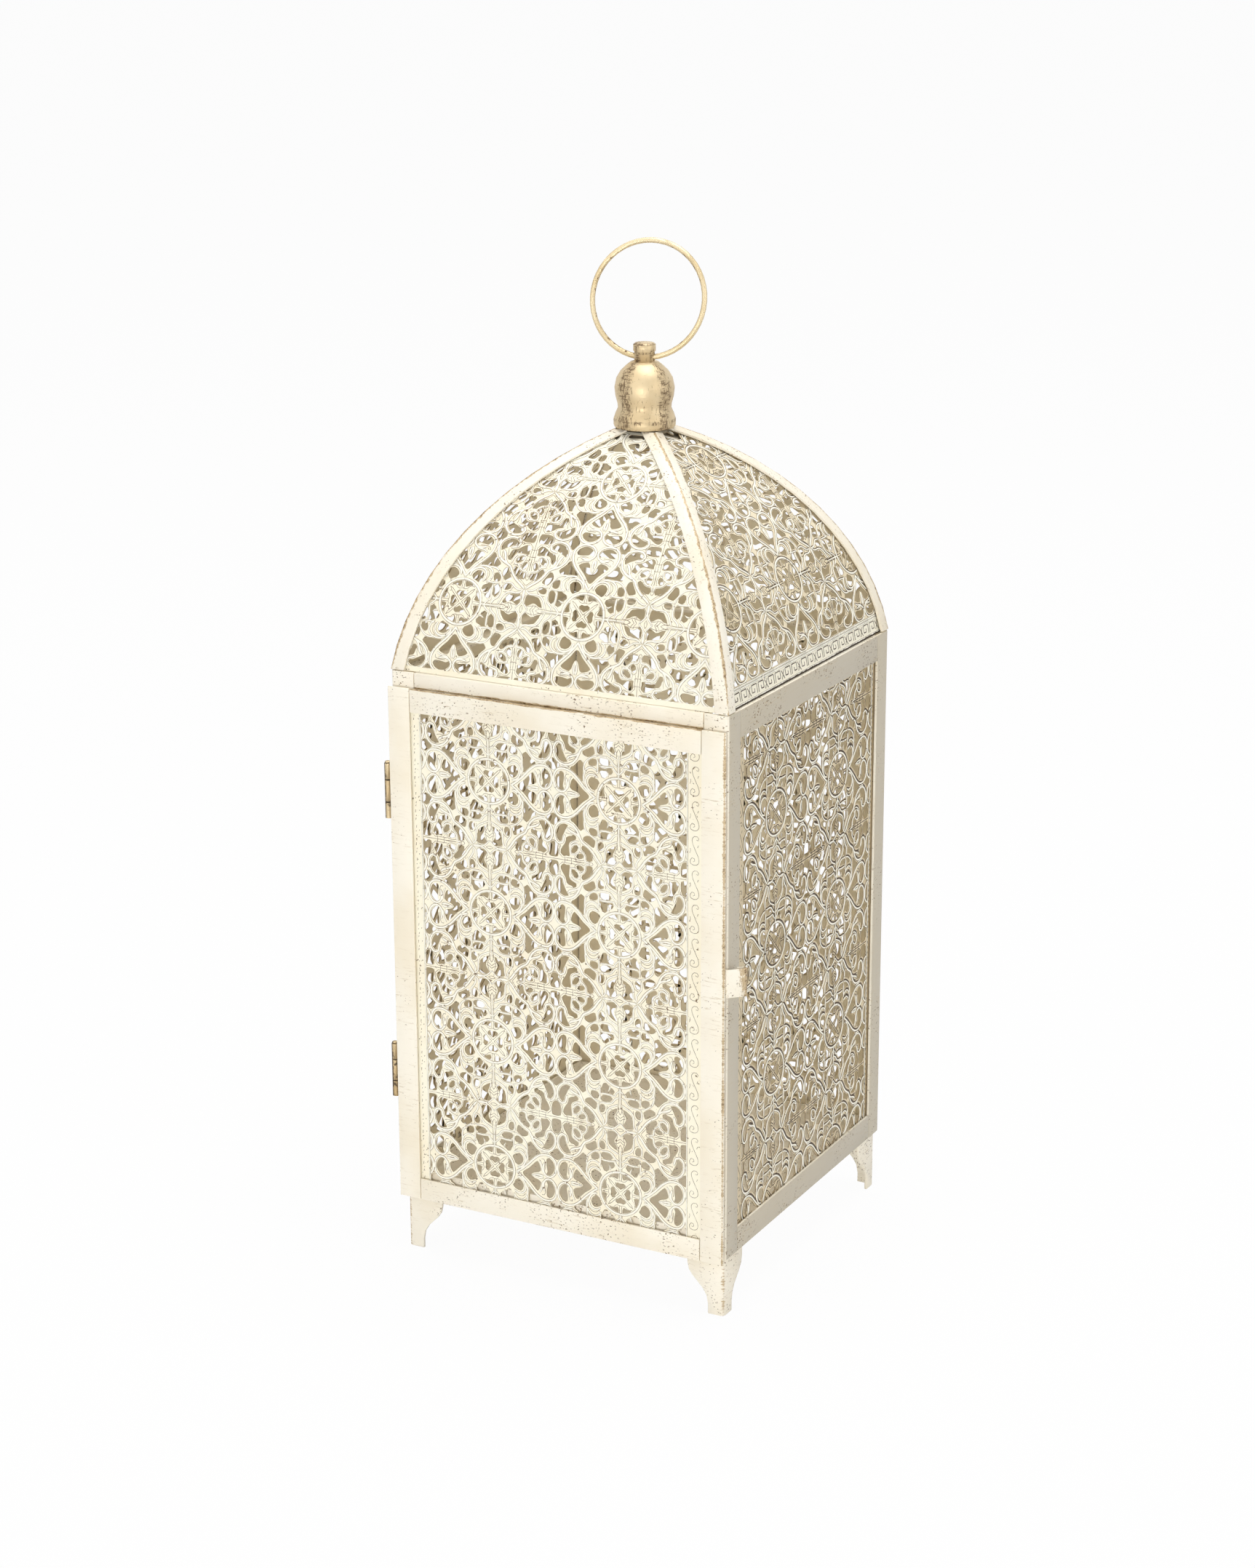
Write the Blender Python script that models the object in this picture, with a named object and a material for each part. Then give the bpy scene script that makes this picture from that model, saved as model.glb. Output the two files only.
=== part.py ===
# Pierced metal lantern: a square body on four bent feet, a hinged front door,
# a four sided dome with ribs on its hips, and a finial that holds a loose ring.
# The origin is under the middle of the body, on the floor. The door faces -Y.
# All sizes are in metres.

import math

import bmesh
import bpy
from mathutils import Matrix, Vector
from mathutils.geometry import delaunay_2d_cdt

# Body
body_width = 0.1500
body_height = 0.2250
foot_height = 0.0250
seat_gap = 0.0003

# Corner posts, which are angles with a rounded outer edge
post_leg = 0.0105
post_sheet = 0.0012
post_edge_radius = 0.0016

# Rails between the posts, which are angles too
rail_sheet = 0.0012
bottom_rail_height = 0.0105
bottom_rail_flange = 0.0098
top_rail_height = 0.0110
top_rail_flange = 0.0080

# Floor tray
tray_sheet = 0.0010
tray_rim_height = 0.0050

# Feet, bent from sheet
foot_sheet = 0.0012
foot_inset = 0.0013
foot_leg_top = 0.0165
foot_leg_bottom = 0.0072
foot_edge_radius = 0.0017
foot_shoulder = 0.0043
foot_ankle = 0.0042

# Pierced sheets
panel_sheet = 0.0011
panel_margin = 0.0030

# Door
door_sheet = 0.0009
door_drop = 0.0010
door_head = 0.0060
door_left_stile = 0.0097
door_right_stile = 0.0102
door_top_rail = 0.0097
door_bottom_rail = 0.0092
door_left_lap = 0.0047
door_right_lap = 0.0050

# Hinges
hinge_height = 0.0230
hinge_radius = 0.00145
hinge_pin_radius = 0.0006
hinge_middle_knuckle = 0.0093
hinge_leaf_sheet = 0.0009
hinge_side_leaf = 0.0110
hinge_pin_head_radius = 0.0012
hinge_pin_head = 0.0006
upper_hinge_below_door_top = 0.0440
lower_hinge_above_door_bottom = 0.0555
hinge_axis_behind_front = 0.0015

# Latch clip
latch_height = 0.0115
latch_sheet = 0.0007
latch_above_door_bottom = 0.1190
latch_reach = 0.0070
latch_angle = math.radians(44)
latch_curl_radius = 0.0009
latch_tail = 0.0024
latch_edge_gap = 0.0006

# Dome
dome_rise = 0.0914
dome_top_half = 0.0092
dome_bulge = 0.0136
rib_sheet = 0.0010
rib_leg = 0.0060
dome_panel_end_half = 0.0078
dome_border = 0.0105
dome_side_margin = 0.0030
dome_top_margin = 0.0030

# Crown plate, nut and stud
crown_top_half = 0.0080
crown_bottom_half = 0.0128
stud_radius = 0.0020
stud_below_nut = 0.0015
nut_width = 0.0070
nut_height = 0.0030

# Finial bell, as (radius, height above its seat)
bell_sheet = 0.0010
bell_profile = (
    (0.01200, 0.0000), (0.01245, 0.0010), (0.01250, 0.0030), (0.01170, 0.0054),
    (0.01070, 0.0076), (0.01085, 0.0094), (0.01170, 0.0125), (0.01205, 0.0158),
    (0.01130, 0.0194), (0.00960, 0.0223), (0.00740, 0.0243), (0.00560, 0.0252),
)

# Stud head, which the ring passes through
neck_radius = 0.0041
neck_height = 0.0044
button_radius = 0.0045
button_height = 0.0037
button_bevel = 0.0008

# Ring
ring_radius = 0.0231
ring_wire_radius = 0.0011
ring_hole_clearance = 0.0003
ring_turn = math.radians(11.2)
ring_lean = math.radians(13.4)

# Pierced pattern, as the openings round one medallion
pitch_across = 0.0583
pitch_up = 0.0550
door_medallion_above_bottom = 0.0212
side_medallion_above_body = 0.0090
dome_medallion_above_eave = 0.0300
rosette_opening = 0.0027
rosette_reach = 0.0044
leaf_across = 0.0144
leaf_up = 0.0131
leaf_opening = (0.0070, 0.0040)
heart_opening = (0.0080, 0.0046)
stem_opening = (0.0062, 0.0040)
corner_opening = (0.0084, 0.0048)
least_opening = 0.000006
least_edge = 0.0004

# Places worked out from the sizes above
half = body_width / 2
body_bottom = foot_height + seat_gap
body_top = foot_height + body_height
panel_face = half - post_sheet - seat_gap
panel_back = panel_face - panel_sheet
tray_bottom = body_bottom + rail_sheet + seat_gap
panel_bottom = tray_bottom
panel_top = body_top - rail_sheet - seat_gap
door_bottom = foot_height - door_drop
door_top = body_top - door_head
door_panel_back = half + seat_gap
door_panel_front = door_panel_back + panel_sheet
door_back = door_panel_front + seat_gap
door_front = door_back + door_sheet
hinge_x = -half - seat_gap - hinge_radius
hinge_y = -door_front + hinge_axis_behind_front
upper_hinge_z = door_top - upper_hinge_below_door_top
lower_hinge_z = door_bottom + lower_hinge_above_door_bottom
eave_z = body_top + seat_gap
quarter_turn = math.pi / 2


def arc_through(foot, top, bulge):
    # Returns the centre, radius and end angles of the arc that bulges from its chord.
    chord = (top - foot).length
    radius = chord * chord / (8 * bulge) + bulge / 2
    along = (top - foot) / chord
    outward = Vector((along.y, -along.x))
    centre = (foot + top) / 2 - outward * (radius - bulge)
    start = math.atan2(foot.y - centre.y, foot.x - centre.x)
    end = math.atan2(top.y - centre.y, top.x - centre.x)
    return centre, radius, start, end


# The dome's arc is the ridge of a hip rib, seen as half width against height
dome_centre, ridge_radius, dome_start, dome_end = arc_through(
    Vector((half, eave_z)),
    Vector((dome_top_half, eave_z + dome_rise)),
    dome_bulge,
)
rib_back_radius = ridge_radius - rib_sheet
dome_face_radius = rib_back_radius - seat_gap
dome_back_radius = dome_face_radius - panel_sheet
crown_radius = dome_back_radius - seat_gap
bell_seat = eave_z + dome_rise + seat_gap


def dome_point(radius, angle):
    # Half width and height of a point on the dome's section.
    return (
        dome_centre.x + radius * math.cos(angle),
        dome_centre.y + radius * math.sin(angle),
    )


def angle_at_half(radius, half_width):
    return math.acos((half_width - dome_centre.x) / radius)


def angle_at_height(radius, height):
    return math.asin((height - dome_centre.y) / radius)


def clear_scene():
    for old in list(bpy.data.objects):
        bpy.data.objects.remove(old, do_unlink=True)


def finish(name, colour, roughness, metallic):
    material = bpy.data.materials.new(name)
    material.use_nodes = True
    shader = material.node_tree.nodes["Principled BSDF"]
    shader.inputs["Base Color"].default_value = (*colour, 1.0)
    shader.inputs["Roughness"].default_value = roughness
    shader.inputs["Metallic"].default_value = metallic
    material.diffuse_color = (*colour, 1.0)
    return material


def cream_paint(name):
    return finish(name, (0.90, 0.84, 0.70), 0.55, 0.0)


def gold_paint(name):
    return finish(name, (0.80, 0.66, 0.42), 0.42, 0.6)


def bare_steel(name):
    return finish(name, (0.55, 0.52, 0.47), 0.40, 0.9)


def mesh_from(name, bm):
    bmesh.ops.remove_doubles(bm, verts=bm.verts[:], dist=0.000001)
    bmesh.ops.recalc_face_normals(bm, faces=bm.faces[:])
    mesh = bpy.data.meshes.new(name)
    bm.to_mesh(mesh)
    bm.free()
    return mesh


def add_piece(name, mesh, material, location=(0, 0, 0), turn=0.0, parent=None):
    piece = bpy.data.objects.new(name, mesh)
    bpy.context.collection.objects.link(piece)
    piece.location = location
    piece.rotation_euler = (0, 0, turn)
    if not mesh.materials:
        mesh.materials.append(None)
    piece.material_slots[0].link = "OBJECT"
    piece.material_slots[0].material = material(name + "_finish")
    piece.parent = parent
    return piece


def add_pivot(name, location, turn=(0, 0, 0)):
    pivot = bpy.data.objects.new(name, None)
    bpy.context.collection.objects.link(pivot)
    pivot.location = location
    pivot.rotation_euler = turn
    return pivot


def smooth(mesh, angle=math.radians(35)):
    mesh.shade_smooth()
    mesh.set_sharp_from_angle(angle=angle)
    return mesh


def sheet_mesh(name, outline, holes, thickness, place, across_cuts=(), up_cuts=()):
    # Fills an outline with its holes, gives it a thickness and puts it in place.
    # place(a, b, depth) gives the point of the real sheet for a point of the flat one.
    points = []
    edges = []
    for loop in [outline, *holes]:
        first = len(points)
        points += [Vector(point) for point in loop]
        edges += [(first + i, first + (i + 1) % len(loop)) for i in range(len(loop))]
    corners, _, triangles, *_ = delaunay_2d_cdt(points, edges, [], 2, 1e-9)
    count = len(corners)
    bm = bmesh.new()
    for depth in (0.0, thickness):
        for corner in corners:
            bm.verts.new((corner.x, corner.y, depth))
    bm.verts.ensure_lookup_table()
    directed = set()
    for tri in triangles:
        middle = sum((corners[i] for i in tri), Vector((0, 0))) / 3
        if any(is_inside(middle, hole) for hole in holes):
            continue
        bm.faces.new([bm.verts[i] for i in tri])
        bm.faces.new([bm.verts[i + count] for i in reversed(tri)])
        directed.update((tri[i], tri[(i + 1) % 3]) for i in range(3))
    for start, end in sorted(directed):
        if (end, start) not in directed:
            wall = (end, start, start + count, end + count)
            bm.faces.new([bm.verts[i] for i in wall])
    for cut in across_cuts:
        cut_sheet(bm, (cut, 0, 0), (1, 0, 0))
    for cut in up_cuts:
        cut_sheet(bm, (0, cut, 0), (0, 1, 0))
    for vert in bm.verts:
        vert.co = place(*vert.co)
    bmesh.ops.triangulate(bm, faces=[face for face in bm.faces if len(face.verts) > 3])
    return mesh_from(name, bm)


def is_inside(point, loop):
    # Says whether a point lies inside a convex loop that runs either way round.
    sides = set()
    for i in range(len(loop)):
        start = Vector(loop[i])
        edge = Vector(loop[(i + 1) % len(loop)]) - start
        sides.add(edge.cross(point - start) > 0)
    return len(sides) == 1


def cut_sheet(bm, point, normal):
    everything = bm.verts[:] + bm.edges[:] + bm.faces[:]
    bmesh.ops.bisect_plane(bm, geom=everything, dist=1e-7, plane_co=point, plane_no=normal)


def ring_of_sections(name, sections, closed, ends=False):
    # Joins equal rings of points, one after the other, into a tube or a torus.
    bm = bmesh.new()
    rings = [[bm.verts.new(point) for point in section] for section in sections]
    pairs = list(zip(rings, rings[1:]))
    if closed:
        pairs.append((rings[-1], rings[0]))
    for one, other in pairs:
        for i in range(len(one)):
            j = (i + 1) % len(one)
            bm.faces.new((one[i], one[j], other[j], other[i]))
    if ends:
        bm.faces.new(rings[0])
        bm.faces.new(rings[-1])
    return mesh_from(name, bm)


def turned(name, profile, segments, closed):
    # Spins a profile of (radius, height) about Z. An open profile ends on the axis.
    sections = []
    for step in range(segments):
        angle = 2 * math.pi * step / segments
        spin = Matrix.Rotation(angle, 3, "Z")
        sections.append([spin @ Vector((radius, 0, height)) for radius, height in profile])
    bm = bmesh.new()
    rings = [[bm.verts.new(point) for point in section] for section in sections]
    count = len(profile)
    for k in range(segments):
        one = rings[k]
        other = rings[(k + 1) % segments]
        for i in range(count if closed else count - 1):
            j = (i + 1) % count
            bm.faces.new((one[i], other[i], other[j], one[j]))
    bmesh.ops.remove_doubles(bm, verts=bm.verts[:], dist=0.000001)
    return smooth(mesh_from(name, bm))


def circle(radius, count, centre=(0.0, 0.0), start=0.0):
    step = 2 * math.pi / count
    return [
        (
            centre[0] + radius * math.cos(start + step * i),
            centre[1] + radius * math.sin(start + step * i),
        )
        for i in range(count)
    ]


def oval(centre, halves, turn, count):
    c = math.cos(turn)
    s = math.sin(turn)
    return [
        (centre[0] + halves[0] * x * c - halves[1] * y * s,
         centre[1] + halves[0] * x * s + halves[1] * y * c)
        for x, y in circle(1.0, count)
    ]


def medallion_openings(turned_sideways):
    # The openings of one repeat: four in the rosette, four leaves and four eyes.
    found = []
    diagonal = math.radians(45)
    for k in range(4):
        around = diagonal + k * quarter_turn
        unit = (math.cos(around), math.sin(around))
        found.append(oval((unit[0] * rosette_reach, unit[1] * rosette_reach),
                          (rosette_opening, rosette_opening), around, 4))
        leaf = (math.copysign(leaf_across, unit[0]), math.copysign(leaf_up, unit[1]))
        found.append(oval(leaf, leaf_opening, around + quarter_turn, 6))
    found.append(oval((pitch_across / 2, 0), heart_opening, 0, 6))
    found.append(oval((0, pitch_up / 2), stem_opening, quarter_turn, 6))
    found.append(oval((pitch_across / 2, pitch_up / 2), corner_opening, quarter_turn, 6))
    if turned_sideways:
        found = [[(-y, x) for x, y in hole] for hole in found]
    return found


def clip_to(window, hole):
    # Keeps the part of a convex hole that lies inside a convex window.
    kept = hole
    for i in range(len(window)):
        start = Vector(window[i])
        edge = Vector(window[(i + 1) % len(window)]) - start
        inward = Vector((-edge.y, edge.x)).normalized()
        inside = [(Vector(point) - start).dot(inward) for point in kept]
        cut = []
        for j in range(len(kept)):
            k = (j + 1) % len(kept)
            if inside[j] >= 0:
                cut.append(kept[j])
            if (inside[j] >= 0) != (inside[k] >= 0):
                share = inside[j] / (inside[j] - inside[k])
                cut.append(tuple(Vector(kept[j]).lerp(Vector(kept[k]), share)))
        kept = cut
        if len(kept) < 3:
            return []
    tidy = []
    for point in kept:
        if not tidy or (Vector(point) - Vector(tidy[-1])).length > least_edge:
            tidy.append(point)
    if (Vector(tidy[0]) - Vector(tidy[-1])).length < least_edge:
        tidy.pop()
    return tidy if len(tidy) > 2 and area(tidy) > least_opening else []


def area(loop):
    total = 0.0
    for i in range(len(loop)):
        x0, y0 = loop[i]
        x1, y1 = loop[(i + 1) % len(loop)]
        total += x0 * y1 - x1 * y0
    return abs(total) / 2


def pattern(window, first_up, columns_on_centre, sideways):
    # Repeats the openings over a window and trims them at its edges.
    step_x = pitch_up if sideways else pitch_across
    step_y = pitch_across if sideways else pitch_up
    reach = max(max(abs(x), abs(y)) for x, y in window)
    count = int(reach / min(step_x, step_y)) + 2
    shift = 0.0 if columns_on_centre else step_x / 2
    holes = []
    for column in range(-count, count + 1):
        for row in range(-count, count + 1):
            middle = (shift + column * step_x, first_up + row * step_y)
            for hole in medallion_openings(sideways):
                moved = [(middle[0] + x, middle[1] + y) for x, y in hole]
                kept = clip_to(window, moved)
                if kept:
                    holes.append(kept)
    return holes


def rectangle(left, bottom, right, top):
    return [(left, bottom), (right, bottom), (right, top), (left, top)]


def front_plane(face):
    # Puts a flat sheet upright with its front at y = -face.
    return lambda a, b, depth: Vector((a, -face + depth, b))


def make_posts():
    low = -half
    high = half
    inner = half - post_sheet
    leg = half - post_leg
    edge = [
        (high - post_edge_radius + x, low + post_edge_radius + y)
        for x, y in [
            (post_edge_radius * math.cos(angle), post_edge_radius * math.sin(angle))
            for angle in [-quarter_turn + quarter_turn * i / 4 for i in range(5)]
        ]
    ]
    outline = [(leg, low), *edge, (high, -leg), (inner, -leg), (inner, -inner), (leg, -inner)]
    height = body_top - body_bottom
    mesh = sheet_mesh("post", outline, [], height,
                      lambda a, b, depth: Vector((a, b, body_bottom + depth)))
    smooth(mesh)
    for k, corner in enumerate(("front_right", "rear_right", "rear_left", "front_left")):
        add_piece("post_" + corner, mesh, cream_paint, turn=k * quarter_turn)


def make_rails():
    length = body_width - 2 * (post_leg + seat_gap)
    inner = half - rail_sheet
    low = [
        (-half, body_bottom), (-half + bottom_rail_flange, body_bottom),
        (-half + bottom_rail_flange, body_bottom + rail_sheet),
        (-inner, body_bottom + rail_sheet),
        (-inner, body_bottom + bottom_rail_height), (-half, body_bottom + bottom_rail_height),
    ]
    high = [
        (-half, body_top - top_rail_height), (-inner, body_top - top_rail_height),
        (-inner, body_top - rail_sheet), (-half + top_rail_flange, body_top - rail_sheet),
        (-half + top_rail_flange, body_top), (-half, body_top),
    ]
    for name, outline in (("bottom_rail", low), ("top_rail", high)):
        mesh = sheet_mesh(name, outline, [], length,
                          lambda a, b, depth: Vector((depth - length / 2, a, b)))
        for k, side in enumerate(("front", "right", "rear", "left")):
            add_piece(name + "_" + side, mesh, cream_paint, turn=k * quarter_turn)


def make_tray():
    wide = panel_back - seat_gap
    hollow = wide - tray_sheet
    bm = bmesh.new()
    levels = (
        (wide, tray_bottom), (wide, tray_bottom + tray_rim_height),
        (hollow, tray_bottom + tray_rim_height), (hollow, tray_bottom + tray_sheet),
    )
    rings = []
    for reach, height in levels:
        square = rectangle(-reach, -reach, reach, reach)
        rings.append([bm.verts.new((x, y, height)) for x, y in square])
    for one, other in zip(rings, rings[1:]):
        for i in range(4):
            j = (i + 1) % 4
            bm.faces.new((one[i], one[j], other[j], other[i]))
    bm.faces.new(rings[0])
    bm.faces.new(rings[-1])
    add_piece("floor_tray", mesh_from("floor_tray", bm), cream_paint)


def make_feet():
    face = half - foot_inset
    bend = foot_edge_radius * math.pi / 4
    flat = foot_edge_radius - bend
    straight_top = foot_height - foot_shoulder
    start = Vector((foot_leg_top - flat, straight_top))
    end = Vector((foot_leg_bottom - flat, foot_ankle))
    drop = straight_top - foot_ankle
    pull_down = start - Vector((0, drop * 0.42))
    pull_up = end + Vector((0, drop * 0.50))
    curve = []
    for i in range(7):
        t = i / 6
        point = start.lerp(pull_down, t).lerp(pull_down.lerp(pull_up, t), t)
        other = pull_down.lerp(pull_up, t).lerp(pull_up.lerp(end, t), t)
        curve.append(tuple(point.lerp(other, t)))
    side = [(start.x, foot_height), *curve, (end.x, 0.0)]
    outline = side + [(-x, z) for x, z in reversed(side)]

    def place(along, height, depth):
        if along < -bend:
            return Vector((face - foot_edge_radius + along + bend, -face + depth, height))
        if along > bend:
            return Vector((face - depth, -face + foot_edge_radius + along - bend, height))
        around = -quarter_turn / 2 + quarter_turn / 2 * along / bend
        reach = foot_edge_radius - depth
        return Vector((face - foot_edge_radius + reach * math.cos(around),
                       -face + foot_edge_radius + reach * math.sin(around), height))

    cuts = [bend * share for share in (-1, 0, 1)]
    mesh = smooth(sheet_mesh("foot", outline, [], foot_sheet, place, across_cuts=cuts))
    for k, corner in enumerate(("front_right", "rear_right", "rear_left", "front_left")):
        add_piece("foot_" + corner, mesh, cream_paint, turn=k * quarter_turn)


def make_side_panels():
    # The right and left panels run into the corners and the rear one fits between them.
    for reach, sides in ((panel_face, (("right", 1), ("left", 3))),
                         (panel_back - seat_gap, (("rear", 2),))):
        outline = rectangle(-reach, panel_bottom, reach, panel_top)
        margin = half - post_leg - panel_margin
        window = rectangle(-margin, body_bottom + bottom_rail_height + panel_margin,
                           margin, body_top - top_rail_height - panel_margin)
        holes = pattern(window, body_bottom + side_medallion_above_body, False, False)
        mesh = sheet_mesh("side_panel", outline, holes, panel_sheet, front_plane(panel_face))
        for side, k in sides:
            add_piece("side_panel_" + side, mesh, cream_paint, turn=k * quarter_turn)


def dome_outline(radius_for_width, start, end, margin, count):
    # Half widths up the unrolled face, taken where the sheet's inner face is narrowest.
    right = []
    for i in range(count + 1):
        angle = start + (end - start) * i / count
        reach = dome_point(radius_for_width, angle)[0] - margin
        right.append((reach, (angle - dome_start) * dome_face_radius))
    return right + [(-x, s) for x, s in reversed(right)]


def make_dome():
    start = angle_at_height(dome_back_radius, eave_z)
    end = angle_at_half(dome_face_radius, dome_panel_end_half)
    outline = dome_outline(dome_back_radius, start, end, seat_gap, 9)
    window_start = start + dome_border / dome_face_radius
    window_end = end - dome_top_margin / dome_face_radius
    window = dome_outline(dome_back_radius, window_start, window_end,
                          rib_leg + dome_side_margin, 9)
    holes = pattern(window, dome_medallion_above_eave, True, True)

    def place(across, along, depth):
        angle = dome_start + along / dome_face_radius
        reach, height = dome_point(dome_face_radius - depth, angle)
        return Vector((across, -reach, height))

    rows = [(start + (end - start) * i / 9 - dome_start) * dome_face_radius for i in range(1, 9)]
    mesh = sheet_mesh("dome_panel", outline, holes, panel_sheet, place, up_cuts=rows)
    for k, side in enumerate(("front", "right", "rear", "left")):
        add_piece("dome_panel_" + side, mesh, cream_paint, turn=k * quarter_turn)


def make_ribs():
    low = angle_at_height(rib_back_radius, eave_z)
    sections = []
    for i in range(13):
        angle = low + (dome_end - low) * i / 12
        outer, outer_z = dome_point(ridge_radius, angle)
        inner, inner_z = dome_point(rib_back_radius, angle)
        wing = outer - rib_leg
        sections.append((
            (wing, -outer, outer_z), (outer, -outer, outer_z), (outer, -wing, outer_z),
            (inner, -wing, inner_z), (inner, -inner, inner_z), (wing, -inner, inner_z),
        ))
    mesh = smooth(ring_of_sections("hip_rib", sections, False, ends=True))
    for k, corner in enumerate(("front_right", "rear_right", "rear_left", "front_left")):
        add_piece("hip_rib_" + corner, mesh, cream_paint, turn=k * quarter_turn)


def make_crown():
    _, top = dome_point(crown_radius, angle_at_half(crown_radius, crown_top_half))
    _, bottom = dome_point(crown_radius, angle_at_half(crown_radius, crown_bottom_half))
    height = top - bottom
    outline = rectangle(-crown_bottom_half, -crown_bottom_half, crown_bottom_half, crown_bottom_half)
    bore = circle(stud_radius + seat_gap, 16)

    def place(a, b, depth):
        on_edge = abs(a) > crown_bottom_half / 2
        shrink = crown_top_half / crown_bottom_half if on_edge and depth > height / 2 else 1.0
        return Vector((a * shrink, b * shrink, bottom + depth))

    mesh = sheet_mesh("crown_plate", outline, [bore], height, place)
    add_piece("crown_plate", mesh, bare_steel)

    nut_top = bottom - seat_gap
    nut_outline = circle(nut_width / math.sqrt(3), 6)
    nut = sheet_mesh("crown_nut", nut_outline, [bore], nut_height,
                     lambda a, b, depth: Vector((a, b, nut_top - depth)))
    add_piece("crown_nut", nut, bare_steel)
    return nut_top - nut_height - stud_below_nut


def make_bell():
    outer = [(radius, bell_seat + height) for radius, height in bell_profile]
    bore = stud_radius + seat_gap
    top = outer[-1][1]
    inner = []
    for radius, height in reversed(bell_profile[:-1]):
        inner.append((radius - bell_sheet, bell_seat + height - bell_sheet * 0.4))
    inner[-1] = (inner[-1][0], bell_seat)
    loop = outer + [(bore, top), (bore, top - bell_sheet)] + inner
    add_piece("finial_bell", turned("finial_bell", loop, 32, True), gold_paint)
    return top


def make_stud(bell_top, stud_end):
    neck = bell_top + seat_gap
    shoulder = neck + neck_height
    top = shoulder + button_height
    profile = [
        (0.0, stud_end), (stud_radius, stud_end), (stud_radius, neck), (neck_radius, neck),
        (neck_radius, shoulder), (button_radius, shoulder + button_bevel / 2),
        (button_radius, top - button_bevel), (button_radius - button_bevel, top - button_bevel / 4),
        (0.0, top),
    ]
    stud = add_piece("finial_stud", turned("finial_stud", profile, 24, False), gold_paint)
    half_sag = (ring_radius - math.sqrt(ring_radius ** 2 - neck_radius ** 2)) / 2
    hole_radius = ring_wire_radius + half_sag + ring_hole_clearance
    hole_z = neck + neck_height / 2
    drill_mesh = sheet_mesh("ring_hole_drill", circle(hole_radius, 16), [], 4 * neck_radius,
                            lambda a, b, depth: Vector((depth - 2 * neck_radius, a, b)))
    drill = add_piece("ring_hole_drill", drill_mesh, bare_steel, location=(0, 0, hole_z),
                      turn=ring_turn)
    drill.hide_render = True
    drill.display_type = "WIRE"
    cut = stud.modifiers.new("ring_hole", "BOOLEAN")
    cut.operation = "DIFFERENCE"
    cut.object = drill
    return hole_z, half_sag


def make_ring(hole_z, half_sag):
    # The ring hangs on a pivot whose own X axis lies along the hole through the neck.
    pivot = add_pivot("ring_pivot", (0, 0, hole_z), (-ring_lean, 0, ring_turn))
    middle = ring_radius - half_sag
    sections = []
    steps = 48
    for k in range(steps):
        around = 2 * math.pi * k / steps
        out = Vector((math.sin(around), 0, -math.cos(around)))
        centre = Vector((0, 0, middle)) + out * ring_radius
        sections.append([
            centre + out * x + Vector((0, y, 0)) for x, y in circle(ring_wire_radius, 8)
        ])
    mesh = smooth(ring_of_sections("hanging_ring", sections, True), math.radians(60))
    add_piece("hanging_ring", mesh, gold_paint, parent=pivot)


def make_door():
    pivot = add_pivot("door_pivot", (hinge_x, hinge_y, 0))
    away = (-hinge_x, -hinge_y, 0)
    left = -half
    right = half
    inner_left = left + door_left_stile
    inner_right = right - door_right_stile
    inner_bottom = door_bottom + door_bottom_rail
    inner_top = door_top - door_top_rail
    strips = {
        "door_stile_left": rectangle(left, door_bottom, inner_left, door_top),
        "door_stile_right": rectangle(inner_right, door_bottom, right, door_top),
        "door_rail_top": rectangle(inner_left + seat_gap, inner_top,
                                   inner_right - seat_gap, door_top),
        "door_rail_bottom": rectangle(inner_left + seat_gap, door_bottom,
                                      inner_right - seat_gap, inner_bottom),
    }
    for name, outline in strips.items():
        mesh = sheet_mesh(name, outline, [], door_sheet, front_plane(door_front))
        add_piece(name, mesh, cream_paint, location=away, parent=pivot)
    outline = rectangle(inner_left - door_left_lap, door_bottom + door_bottom_rail / 2,
                        inner_right + door_right_lap, door_top - door_top_rail / 2)
    window = rectangle(inner_left + panel_margin, inner_bottom + panel_margin,
                       inner_right - panel_margin, inner_top - panel_margin)
    holes = pattern(window, door_bottom + door_medallion_above_bottom, False, False)
    mesh = sheet_mesh("door_panel", outline, holes, panel_sheet, front_plane(door_panel_front))
    add_piece("door_panel", mesh, cream_paint, location=away, parent=pivot)
    make_latch(pivot, away, right)
    return pivot


def make_latch(pivot, away, door_edge):
    # A strip that leaves the door behind its stile, bends back past the post and curls in.
    middle_y = -door_panel_front + latch_sheet / 2
    knee = Vector((door_edge + latch_edge_gap, middle_y))
    lean = Vector((math.cos(latch_angle), math.sin(latch_angle)))
    left_of_lean = Vector((-lean.y, lean.x))
    tip = knee + lean * latch_reach
    centre = tip + left_of_lean * latch_curl_radius
    path = [Vector((door_edge - door_right_stile + door_right_lap + seat_gap, middle_y)), knee, tip]
    for i in range(1, 7):
        around = latch_angle - quarter_turn + math.radians(195) * i / 6
        path.append(centre + latch_curl_radius * Vector((math.cos(around), math.sin(around))))
    back = (path[-1] - path[-2]).normalized()
    path.append(path[-1] + back * latch_tail)
    left_side = []
    right_side = []
    for i, point in enumerate(path):
        before = (point - path[max(i - 1, 0)]).normalized() if i else Vector((0, 0))
        after = (path[i + 1] - point).normalized() if i + 1 < len(path) else Vector((0, 0))
        along = (before + after).normalized()
        normal = Vector((-along.y, along.x)) * latch_sheet / 2
        left_side.append(tuple(point + normal))
        right_side.append(tuple(point - normal))
    low = door_bottom + latch_above_door_bottom - latch_height / 2
    mesh = sheet_mesh("door_latch", right_side + left_side[::-1], [], latch_height,
                      lambda a, b, depth: Vector((a, b, low + depth)))
    add_piece("door_latch", smooth(mesh), cream_paint, location=away, parent=pivot)


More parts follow.
